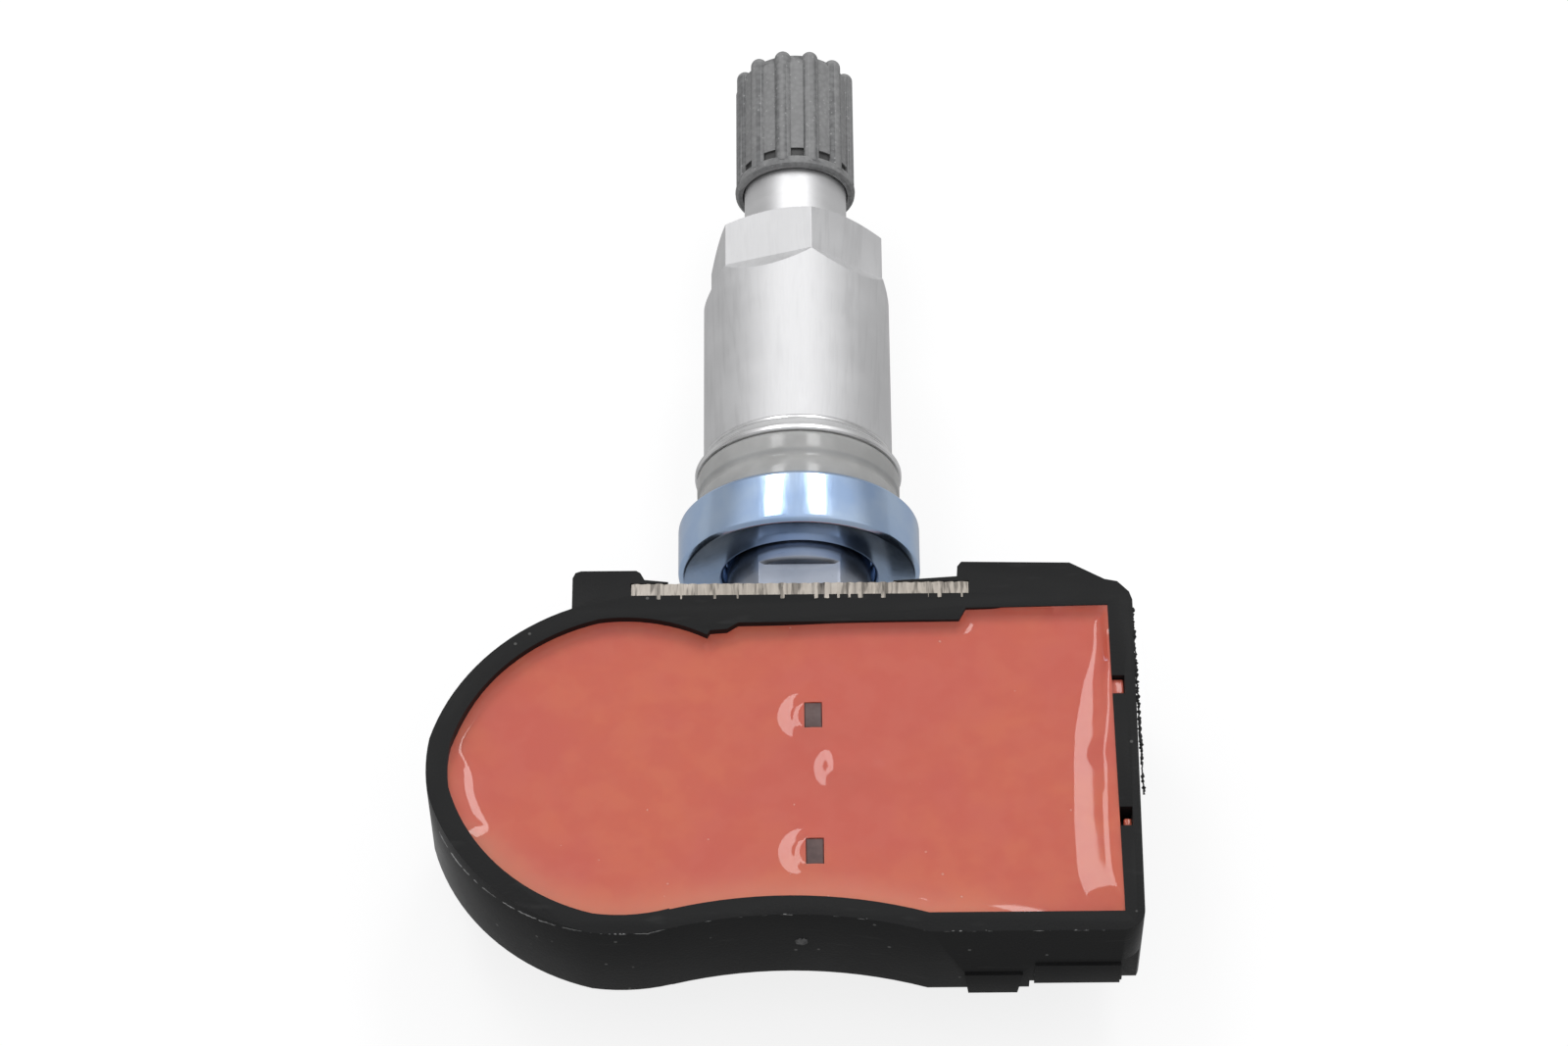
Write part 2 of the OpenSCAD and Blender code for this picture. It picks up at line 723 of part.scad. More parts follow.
// Breathable disc over the port's inner mouth
module port_membrane() {
    color("white") on_housing() translate([chip_x, chip_y, membrane_z])
        cylinder(r = gasket_r, h = port_seat - membrane_z);
}

module coil_core_solid() {
    flange = 1.3;
    translate([coil_x, coil_y, pcb_top]) union() {
        for (s = [-1, 1]) translate([s * (coil_l - flange) / 2 - flange / 2, -coil_w / 2, 0])
            cube([flange, coil_w, coil_h]);
        translate([-coil_l / 2 + 0.5, -coil_w / 2 + coil_wall, coil_wall])
            cube([coil_l - 1, coil_w - 2 * coil_wall, coil_h - 2 * coil_wall]);
    }
}

module coil_core() {
    color("#3a3a3c") on_housing() coil_core_solid();
}

// Winding of the wake-up coil as one block of turns
module coil_winding_solid() {
    l = coil_l - 2.6;
    translate([coil_x - l / 2, coil_y, pcb_top]) difference() {
        translate([0, -coil_w / 2 + 0.15, 0.15]) cube([l, coil_w - 0.3, coil_h - 0.3]);
        translate([-1, -coil_w / 2 + coil_wall, coil_wall])
            cube([l + 2, coil_w - 2 * coil_wall, coil_h - 2 * coil_wall]);
    }
}

module coil_winding() {
    color("peru") on_housing() coil_winding_solid();
}

// Bent strip that stands along the edge of the board
module antenna_solid() {
    x1 = in_x - antenna_in;
    y0 = near_y + wall + antenna_in;
    y1 = -1.2;
    translate([0, 0, pcb_top]) linear_extrude(antenna_h) union() {
        translate([x1 - antenna_t, y0]) square([antenna_t, y1 - y0]);
        translate([x1 - 8.5, y0]) square([8.5, antenna_t]);
        translate([x1 - 6.5, y1 - antenna_t]) square([6.5, antenna_t]);
    }
}

module antenna_strip() {
    color("goldenrod") on_housing() antenna_solid();
}

module crystal_solid() {
    translate([crystal_x, crystal_y - 1.25, pcb_top]) cube([3.2, 2.5, 0.8]);
}

module crystal() {
    color("silver") on_housing() crystal_solid();
}

module capacitors_solid() {
    for (p = cap_list) translate([p[0], p[1], pcb_top]) cube([1.6, 0.8, 0.8]);
}

module capacitors() {
    color("burlywood") on_housing() capacitors_solid();
}

housing();
potting();
serrated_plate();
valve_stem();
collar_ring();
grommet();
clamp_washer();
sleeve_nut();
valve_cap();
cap_seal();
core_body();
core_gasket();
core_pin();
core_spring();
core_cup();
pcb();
coin_cell();
battery_tab_plus();
battery_tab_minus();
pressure_chip();
port_gasket();
port_membrane();
coil_core();
coil_winding();
antenna_strip();
crystal();
capacitors();
contact_posts();
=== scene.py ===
"""Looks of the tyre pressure sensor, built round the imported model.

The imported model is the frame, in metres. Pieces are drawn in millimetres, either
upright on the valve's axis or from the axis of the T-bar in the housing, and are
then moved to their place in the frame.
"""

import logging
import math
import random
from dataclasses import dataclass
from enum import Enum

import bpy
import numpy as np
from mathutils import Matrix, Vector


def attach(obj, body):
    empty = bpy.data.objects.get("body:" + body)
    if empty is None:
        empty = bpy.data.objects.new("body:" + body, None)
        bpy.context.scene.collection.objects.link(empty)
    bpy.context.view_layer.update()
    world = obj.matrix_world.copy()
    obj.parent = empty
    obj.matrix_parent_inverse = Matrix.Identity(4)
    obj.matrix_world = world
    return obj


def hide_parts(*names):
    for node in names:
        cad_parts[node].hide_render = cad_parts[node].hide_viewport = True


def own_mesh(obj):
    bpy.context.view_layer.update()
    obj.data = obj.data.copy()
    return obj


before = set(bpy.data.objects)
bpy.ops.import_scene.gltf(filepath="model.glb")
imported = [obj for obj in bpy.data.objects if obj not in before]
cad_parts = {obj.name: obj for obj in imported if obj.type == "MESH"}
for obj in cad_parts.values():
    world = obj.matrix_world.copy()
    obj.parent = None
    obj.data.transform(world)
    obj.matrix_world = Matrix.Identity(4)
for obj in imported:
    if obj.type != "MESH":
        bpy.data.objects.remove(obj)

log = logging.getLogger("sensor")

MM = 0.001
WELD = 0.0005
"""Distance under which points of a mesh are merged, in millimetres."""
VALVE_TILT = 5.2
"""Angle from the housing's plane to the valve's axis, in degrees."""
SEAT = 8.35
"""Place of the frame's origin on the valve's axis."""
PIVOT = Vector((0.0, -15.934, -1.450))
"""Place of the T-bar's axis in the frame."""
ON_VALVE = (
    Matrix.Scale(MM, 4)
    @ Matrix.Rotation(math.radians(VALVE_TILT - 90), 4, "X")
    @ Matrix.Translation((0, 0, -SEAT))
)
ON_HOUSING = Matrix.Scale(MM, 4) @ Matrix.Translation(PIVOT)

Point = tuple[float, float]
Spot = tuple[float, float, float]
Colour = tuple[float, float, float]
Piece = bpy.types.Object
Finish = bpy.types.Material
Socket = bpy.types.NodeSocket


class Body(Enum):
    """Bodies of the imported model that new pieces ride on."""

    SENSOR = "sensor"
    VALVE = "valve"
    WASHER = "nut_washer"
    NUT = "nut"
    CAP = "cap"

    @property
    def place(self) -> Matrix:
        """Axes in the frame that the body's pieces are drawn on."""
        return ON_HOUSING if self is Body.SENSOR else ON_VALVE


class Slot(Enum):
    """Material slots of the record, one given with each new piece."""

    ZINC = "blue_zinc"
    GROMMET = "clear_rubber"
    WASHER = "washer_aluminium"
    NUT = "nut_aluminium"
    STEM = "stem_aluminium"
    SPRING = "spring_steel"
    CAP = "cap_plastic"
    RESIN = "potting_resin"
    PLATE = "plate_steel"
    HOUSING = "housing_plastic"
    POSTS = "post_metal"


class Keep(Enum):
    """What stays of a piece that a tool works on."""

    OUTSIDE = "DIFFERENCE"
    INSIDE = "INTERSECT"


def clear_selection() -> None:
    """Leaves edit mode and deselects every object."""
    if bpy.context.object and bpy.context.object.mode != "OBJECT":
        bpy.ops.object.mode_set(mode="OBJECT")
    bpy.ops.object.select_all(action="DESELECT")


def pick(piece: Piece) -> None:
    """Makes one object the selected and active one.

    Args:
        piece: the object to work on.
    """
    clear_selection()
    piece.select_set(True)
    bpy.context.view_layer.objects.active = piece


def in_edit(piece: Piece) -> None:
    """Opens a mesh for editing, with all of it selected.

    Args:
        piece: the object to edit.
    """
    pick(piece)
    bpy.ops.object.mode_set(mode="EDIT")
    bpy.ops.mesh.select_all(action="SELECT")


def out_of_edit() -> None:
    """Closes the mesh that is open for editing."""
    bpy.ops.object.mode_set(mode="OBJECT")


def node_copy(node: str, body: Body) -> Piece:
    """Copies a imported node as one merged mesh, in millimetres on its body's axes.

    Args:
        node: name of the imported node.
        body: the body that it belongs to.

    Returns:
        The copy, with flat faces dissolved to single faces.
    """
    clear_selection()
    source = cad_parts[node]
    copy = bpy.data.objects.new(node + "_piece", source.data.copy())
    bpy.context.scene.collection.objects.link(copy)
    copy.data.transform(body.place.inverted())
    copy.data.materials.clear()
    in_edit(copy)
    bpy.ops.mesh.remove_doubles(threshold=WELD)
    bpy.ops.mesh.dissolve_limited(angle_limit=math.radians(0.5))
    out_of_edit()
    if copy.data.has_custom_normals:
        bpy.ops.mesh.customdata_custom_splitnormals_clear()
    return copy


def bevel(piece: Piece, width: float, segments: int, angle: float) -> None:
    """Rounds a piece's edges with an applied bevel.

    Args:
        piece: the object to bevel.
        width: width of the bevel in millimetres.
        segments: number of segments across it.
        angle: smallest angle of an edge that is rounded, in degrees.
    """
    pick(piece)
    modifier = piece.modifiers.new("round", "BEVEL")
    modifier.width = width
    modifier.segments = segments
    modifier.limit_method = "ANGLE"
    modifier.angle_limit = math.radians(angle)
    modifier.miter_outer = "MITER_ARC"
    bpy.ops.object.modifier_apply(modifier=modifier.name)


def trim(piece: Piece, tool: Piece, keep: Keep) -> None:
    """Cuts a piece with another, which is used up.

    Args:
        piece: the object that is kept.
        tool: the object that works on it.
        keep: what stays of the piece, outside or inside the tool.
    """
    pick(piece)
    modifier = piece.modifiers.new("trim", "BOOLEAN")
    modifier.operation = keep.value
    modifier.object = tool
    modifier.solver = "EXACT"
    bpy.ops.object.modifier_apply(modifier=modifier.name)
    bpy.data.objects.remove(tool)


def box(low: Spot, high: Spot) -> Piece:
    """Adds a block between two corners, in millimetres.

    Args:
        low: its lowest corner.
        high: its highest corner.

    Returns:
        The block, with its place in its mesh.
    """
    clear_selection()
    bpy.ops.mesh.primitive_cube_add(size=1)
    block = bpy.context.object
    size = Vector(high) - Vector(low)
    centre = (Vector(high) + Vector(low)) / 2
    block.data.transform(Matrix.Translation(centre) @ Matrix.Diagonal((*size, 1)))
    return block


def eased(points: list[Point], radius: float, steps: int = 3) -> list[Point]:
    """Rounds the corners of a closed profile.

    Args:
        points: corners of the profile.
        radius: largest radius of a rounded corner.
        steps: number of chords at each corner.

    Returns:
        The profile with an arc in place of each corner away from the axis.
    """
    share, smallest, axis_gap = 0.4, 0.005, 0.01
    out: list[Point] = []
    count = len(points)
    for i, here in enumerate(points):
        p = Vector(here)
        a = Vector(points[i - 1]) - p
        b = Vector(points[(i + 1) % count]) - p
        reach = min(radius, a.length * share, b.length * share)
        if p.x < axis_gap or reach < smallest:
            out.append(here)
            continue
        start, end = p + a.normalized() * reach, p + b.normalized() * reach
        for k in range(steps + 1):
            t = k / steps
            q = start * (1 - t) ** 2 + p * 2 * t * (1 - t) + end * t**2
            out.append((q.x, q.y))
    return out


def turned(name: str, profile: list[Point], steps: int) -> Piece:
    """Spins a closed profile about the upright axis.

    Args:
        name: name of the piece.
        profile: points as radius and height, in millimetres.
        steps: number of steps round the axis.

    Returns:
        The turned piece.
    """
    clear_selection()
    bpy.ops.mesh.primitive_plane_add(size=1)
    piece = bpy.context.object
    piece.name = name
    in_edit(piece)
    bpy.ops.mesh.merge(type="CENTER")
    bpy.ops.transform.translate(value=(profile[0][0], 0, profile[0][1]))
    for a, b in zip(profile, profile[1:] + profile[:1]):
        if max(abs(a[0]), abs(b[0])) < 1e-6:
            continue
        bpy.ops.mesh.extrude_vertices_move(
            TRANSFORM_OT_translate={"value": (b[0] - a[0], 0, b[1] - a[1])}
        )
    bpy.ops.mesh.select_all(action="SELECT")
    bpy.ops.mesh.spin(steps=steps, angle=math.tau, center=(0, 0, 0), axis=(0, 0, 1))
    bpy.ops.mesh.select_all(action="SELECT")
    bpy.ops.mesh.remove_doubles(threshold=WELD)
    bpy.ops.mesh.normals_make_consistent(inside=False)
    out_of_edit()
    return piece


def settle(
    piece: Piece,
    name: str,
    body: Body,
    slot: Slot,
    *finishes: Finish,
    node: str = "",
    smooth: float = 32,
) -> None:
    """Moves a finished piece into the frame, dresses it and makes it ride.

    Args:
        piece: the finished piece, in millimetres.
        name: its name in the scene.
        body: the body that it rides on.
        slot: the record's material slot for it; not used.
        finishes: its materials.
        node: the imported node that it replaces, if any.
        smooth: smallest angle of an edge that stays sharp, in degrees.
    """
    piece.data.transform(body.place)
    piece.name = name
    piece.data.name = name
    for finish in finishes:
        piece.data.materials.append(finish)
    pick(piece)
    bpy.ops.object.shade_smooth_by_angle(angle=math.radians(smooth))
    clear_selection()
    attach(piece, body.value)
    if node:
        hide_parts(node)
    log.info("%s: %d faces on %s", name, len(piece.data.polygons), body.value)


class NodeKit:
    """A tree of shader nodes, put together node by node."""

    def __init__(self, tree: bpy.types.NodeTree) -> None:
        """Takes the tree to work on.

        Args:
            tree: the node tree of a material or a world.
        """
        self.tree = tree

    def add(self, kind: str, settings: dict | None = None, **inputs: object) -> bpy.types.Node:
        """Adds a node.

        Args:
            kind: the node's type without its ShaderNode prefix.
            settings: properties of the node.
            inputs: sockets by name, or by number as in _0, with a value or a socket.

        Returns:
            The new node.
        """
        node = self.tree.nodes.new("ShaderNode" + kind)
        for key, value in (settings or {}).items():
            setattr(node, key, value)
        for key, value in inputs.items():
            number = key[1:]
            socket = node.inputs[int(number) if number.isdigit() else key.replace("_", " ")]
            if isinstance(value, Socket):
                self.tree.links.new(value, socket)
            else:
                socket.default_value = value
        return node

    def remap(
        self, value: Socket, low: float, high: float, to_low: float, to_high: float
    ) -> Socket:
        """Maps a range of a value to another, clamped."""
        node = self.add("MapRange", _0=value, _1=low, _2=high, _3=to_low, _4=to_high)
        return node.outputs["Result"]

    def maths(self, how: str, a: Socket, b: Socket | float) -> Socket:
        """One step of arithmetic on two values."""
        return self.add("Math", {"operation": how}, _0=a, _1=b).outputs["Value"]

    def over(self, mask: Socket, share: float, under: Socket, colour: Colour) -> Socket:
        """Lays a colour over another where a mask says.

        Args:
            mask: a value that is 1 where the colour lies.
            share: how much of it covers there.
            under: the colour below.
            colour: the colour that is laid over it.

        Returns:
            The mixed colour.
        """
        return self.blend(self.maths("MULTIPLY", mask, share), under, colour)

    def blend(self, share: Socket, a: Socket | Colour, b: Socket | Colour) -> Socket:
        """Mixes two colours by a share.

        Args:
            share: 0 for the first and 1 for the second.
            a: the first colour.
            b: the second colour.

        Returns:
            The mixed colour.
        """
        a = (*a, 1) if isinstance(a, tuple) else a
        b = (*b, 1) if isinstance(b, tuple) else b
        node = self.add("Mix", {"data_type": "RGBA"}, _0=share, _6=a, _7=b)
        return node.outputs[2]


class Recipe(NodeKit):
    """One procedural material on the object's own coordinates."""

    def __init__(self, name: str) -> None:
        """Starts a material with its main shader and object coordinates.

        Args:
            name: name of the material.
        """
        self.material = bpy.data.materials.new(name)
        self.material.use_nodes = True
        super().__init__(self.material.node_tree)
        self.shader = self.tree.nodes["Principled BSDF"]
        self.place = self.add("TexCoord").outputs["Object"]

    def surface(self, **values: object) -> None:
        """Sets constants on the main shader's own sockets.

        Args:
            values: socket names with underscores for spaces, and their values.
        """
        for key, value in values.items():
            self.shader.inputs[key.replace("_", " ")].default_value = value

    def link(self, socket: Socket, target: str) -> None:
        """Feeds one of the main shader's sockets."""
        self.tree.links.new(socket, self.shader.inputs[target])

    def stretched(self, scale: Spot) -> Socket:
        """Object coordinates stretched along the axes."""
        return self.add("Mapping", Vector=self.place, Scale=scale).outputs["Vector"]

    def noise(self, scale: float, detail: float = 3, vector: Socket | None = None) -> Socket:
        """Noise on the object's coordinates, as a value from 0 to 1."""
        where = self.place if vector is None else vector
        return self.add("TexNoise", Vector=where, Scale=scale, Detail=detail).outputs["Fac"]

    def specks(self, scale: float, size: float, vector: Socket | None = None) -> Socket:
        """Small spots, as a value that is 1 in a spot and 0 elsewhere."""
        where = self.place if vector is None else vector
        cells = self.add("TexVoronoi", Vector=where, Scale=scale)
        return self.remap(cells.outputs["Distance"], size, size * 0.6, 0, 1)

    def raised(
        self, height: Socket, depth: float, strength: float, below: Socket | None = None
    ) -> Socket:
        """Bumps the surface.

        Args:
            height: the height as a value from 0 to 1.
            depth: the height of a value of 1, in metres.
            strength: share of the bump that is used.
            below: a bump that this one lies on.

        Returns:
            The normal.
        """
        extra = {} if below is None else {"Normal": below}
        node = self.add("Bump", Height=height, Distance=depth, Strength=strength, **extra)
        return node.outputs["Normal"]


@dataclass(frozen=True)
class MouldedPlastic:
    """Black glass-filled plastic with a fine grain, scuffs and dust."""

    name: str = "moulded_black"
    colour: Colour = (0.0066, 0.0068, 0.0070)
    clouds: float = 1.7
    scuff_colour: Colour = (0.03, 0.03, 0.03)
    dust_colour: Colour = (0.16, 0.16, 0.155)
    cloud_scale: float = 140.0
    scuff_scale: float = 900.0
    dust_scale: float = 520.0
    dust_size: float = 0.075
    grain_scale: float = 5200.0
    grain_depth: float = 0.00003
    wave_depth: float = 0.0001

    def make(self) -> Finish:
        """Builds the material."""
        r = Recipe(self.name)
        r.surface(IOR=1.45, Specular_IOR_Level=0.2, Sheen_Weight=0.22, Sheen_Roughness=0.25)
        cloudy = r.noise(self.cloud_scale)
        along = r.stretched((0.25, 1.0, 2.2))
        scuff = r.remap(r.noise(self.scuff_scale, 2, along), 0.64, 0.76, 0, 1)
        dust = r.specks(self.dust_scale, self.dust_size)
        second = tuple(self.clouds * c for c in self.colour)
        tint = r.blend(r.remap(cloudy, 0.35, 0.7, 0, 1), self.colour, second)
        tint = r.over(scuff, 0.4, tint, self.scuff_colour)
        tint = r.over(dust, 0.6, tint, self.dust_colour)
        r.link(tint, "Base Color")
        r.link(r.remap(cloudy, 0.3, 0.7, 0.4, 0.56), "Roughness")
        grain = r.raised(r.noise(self.grain_scale, 4), self.grain_depth, 0.55)
        r.link(r.raised(cloudy, self.wave_depth, 0.25, grain), "Normal")
        return r.material


@dataclass(frozen=True)
class CastGel:
    """Soft salmon-red potting gel with a wet skin, faint clouds, tiny bubbles and a painted
    reflection band along the near wall.
    """

    name: str = "cast_gel"
    colour: Colour = (0.68, 0.166, 0.100)
    pink: Colour = (0.65, 0.146, 0.105)
    patch_colour: Colour = (0.62, 0.12, 0.085)
    painted_reflection_colour: Colour = (0.74, 0.29, 0.19)
    bubble_colour: Colour = (0.85, 0.42, 0.34)
    speck_colour: Colour = (0.2, 0.05, 0.04)
    cloud_scale: float = 120.0
    patch_scale: float = 430.0
    bubble_scale: float = 430.0
    bubble_size: float = 0.05
    bubble_depth: float = 0.00004
    speck_scale: float = 170.0
    speck_size: float = 0.024
    ripple_scale: float = 70.0
    ripple_depth: float = 0.0004

    def make(self) -> Finish:
        """Builds the material."""
        r = Recipe(self.name)
        r.surface(IOR=1.45, Roughness=0.04, Subsurface_Weight=0.25, Subsurface_Scale=0.0012)
        r.surface(Subsurface_Radius=(1.0, 0.3, 0.2))
        cloud = r.remap(r.noise(self.cloud_scale), 0.4, 0.6, 0, 1)
        patch = r.remap(r.noise(self.patch_scale, 2), 0.42, 0.6, 0, 1)
        band = r.add("Attribute", {"attribute_name": "painted_reflection_band"}).outputs["Fac"]
        bubble = r.specks(self.bubble_scale, self.bubble_size)
        speck = r.specks(self.speck_scale, self.speck_size, r.stretched((1.0, 1.0, 0.2)))
        tint = r.blend(cloud, self.colour, self.pink)
        tint = r.over(patch, 0.35, tint, self.patch_colour)
        # Painted reflection: a paler band where the meniscus curves up to the near wall.
        tint = r.over(band, 0.6, tint, self.painted_reflection_colour)
        tint = r.over(bubble, 0.55, tint, self.bubble_colour)
        tint = r.over(speck, 0.7, tint, self.speck_colour)
        r.link(tint, "Base Color")
        ripple = r.raised(r.noise(self.ripple_scale, 1), self.ripple_depth, 0.04)
        r.link(r.raised(bubble, self.bubble_depth, 0.8, ripple), "Normal")
        return r.material


@dataclass(frozen=True)
class Metal:
    """A metal with lines from turning or grinding, painted shade in their grooves, and a cloudy
    gloss.
    """

    name: str
    colour: Colour
    second: Colour
    gloss: Point = (0.25, 0.4)
    lines: float = 9000.0
    line_depth: float = 0.000004
    painted_groove_shade: float = 0.0
    line_shade: float = 0.25
    stretch: Spot = (0.02, 1.0, 0.02)
    pits: float = 0.0
    pit_scale: float = 1500.0
    pit_depth: float = 0.00002
    cloud_scale: float = 260.0

    def make(self) -> Finish:
        """Builds the material."""
        r = Recipe(self.name)
        r.surface(Metallic=1.0)
        cloud = r.noise(self.cloud_scale)
        streak = r.noise(self.lines, 2, r.stretched(self.stretch))
        tint = r.blend(r.remap(cloud, 0.38, 0.66, 0, 1), self.colour, self.second)
        # Painted shade: the colour is darkened in the grooves of the lines.
        if self.painted_groove_shade:
            groove = r.remap(streak, 0.5, 0.36, 0, self.painted_groove_shade)
            tint = r.blend(groove, tint, tuple(self.line_shade * c for c in self.colour))
        r.link(tint, "Base Color")
        halves = [r.maths("MULTIPLY", part, 0.5) for part in (streak, cloud)]
        rough = r.maths("ADD", *halves)
        r.link(r.remap(rough, 0.3, 0.7, *self.gloss), "Roughness")
        normal = r.raised(streak, self.line_depth, 0.6)
        if self.pits:
            pit = r.specks(self.pit_scale, self.pits)
            normal = r.raised(pit, self.pit_depth, 0.7, normal)
        r.link(normal, "Normal")
        return r.material


@dataclass(frozen=True)
class Rubbery:
    """A soft or moulded matt material with a fine grain and a mottled colour."""

    name: str
    colour: Colour
    second: Colour
    gloss: Point = (0.45, 0.6)
    grain: float = 3000.0
    depth: float = 0.00002
    glow: float = 0.0
    clear: float = 0.0
    mottle_share: float = 0.5
    gloss_share: float = 0.12

    def make(self) -> Finish:
        """Builds the material."""
        r = Recipe(self.name)
        r.surface(IOR=1.48, Subsurface_Weight=self.glow, Subsurface_Scale=0.001)
        r.surface(Transmission_Weight=self.clear, Subsurface_Radius=(1.0, 0.95, 0.9))
        mottle = r.noise(self.grain * self.mottle_share)
        tint = r.blend(r.remap(mottle, 0.35, 0.65, 0, 1), self.colour, self.second)
        r.link(tint, "Base Color")
        worn = r.noise(self.grain * self.gloss_share, 2)
        r.link(r.remap(worn, 0.3, 0.7, *self.gloss), "Roughness")
        r.link(r.raised(r.noise(self.grain), self.depth, 0.8), "Normal")
        return r.material


@dataclass(frozen=True)
class CapPlastic:
    """Dark grey cap plastic with a pebbled grain and pale flecks, paler on its sharp edges and
    darker in its creases as painted shade.
    """

    name: str = "cap_grey"
    colour: Colour = (0.155, 0.158, 0.160)
    worn_colour: Colour = (0.225, 0.227, 0.228)
    pebble_colour: Colour = (0.08, 0.08, 0.082)
    fleck_colour: Colour = (0.55, 0.55, 0.55)
    edge_colour: Colour = (0.42, 0.42, 0.42)
    crease_shade_colour: Colour = (0.05, 0.05, 0.05)
    pebble_scale: float = 2600.0
    pebble_depth: float = 0.00006
    fleck_scale: float = 2100.0
    fleck_size: float = 0.17
    worn_scale: float = 420.0

    def make(self) -> Finish:
        """Builds the material."""
        r = Recipe(self.name)
        r.surface(IOR=1.48, Specular_IOR_Level=0.5)
        cells = r.add("TexVoronoi", Vector=r.place, Scale=self.pebble_scale)
        pebble = cells.outputs["Distance"]
        fleck = r.specks(self.fleck_scale, self.fleck_size)
        worn = r.remap(r.noise(self.worn_scale, 4), 0.4, 0.68, 0, 1)
        bend = r.add("NewGeometry").outputs["Pointiness"]
        tint = r.blend(worn, self.colour, self.worn_colour)
        tint = r.over(r.remap(pebble, 0.3, 0.75, 0, 1), 0.55, tint, self.pebble_colour)
        tint = r.over(fleck, 0.45, tint, self.fleck_colour)
        # Paler on sharp convex edges.
        tint = r.blend(r.remap(bend, 0.505, 0.53, 0, 0.4), tint, self.edge_colour)
        # Painted shade: concave creases, such as the pockets' corners, are darkened.
        tint = r.blend(r.remap(bend, 0.495, 0.47, 0, 0.6), tint, self.crease_shade_colour)
        r.link(tint, "Base Color")
        r.link(r.remap(worn, 0, 1, 0.5, 0.68), "Roughness")
        r.link(r.raised(pebble, self.pebble_depth, 0.7), "Normal")
        return r.material


def grey(value: float) -> Colour:
    """Gives a neutral colour."""
    return (value, value, value)


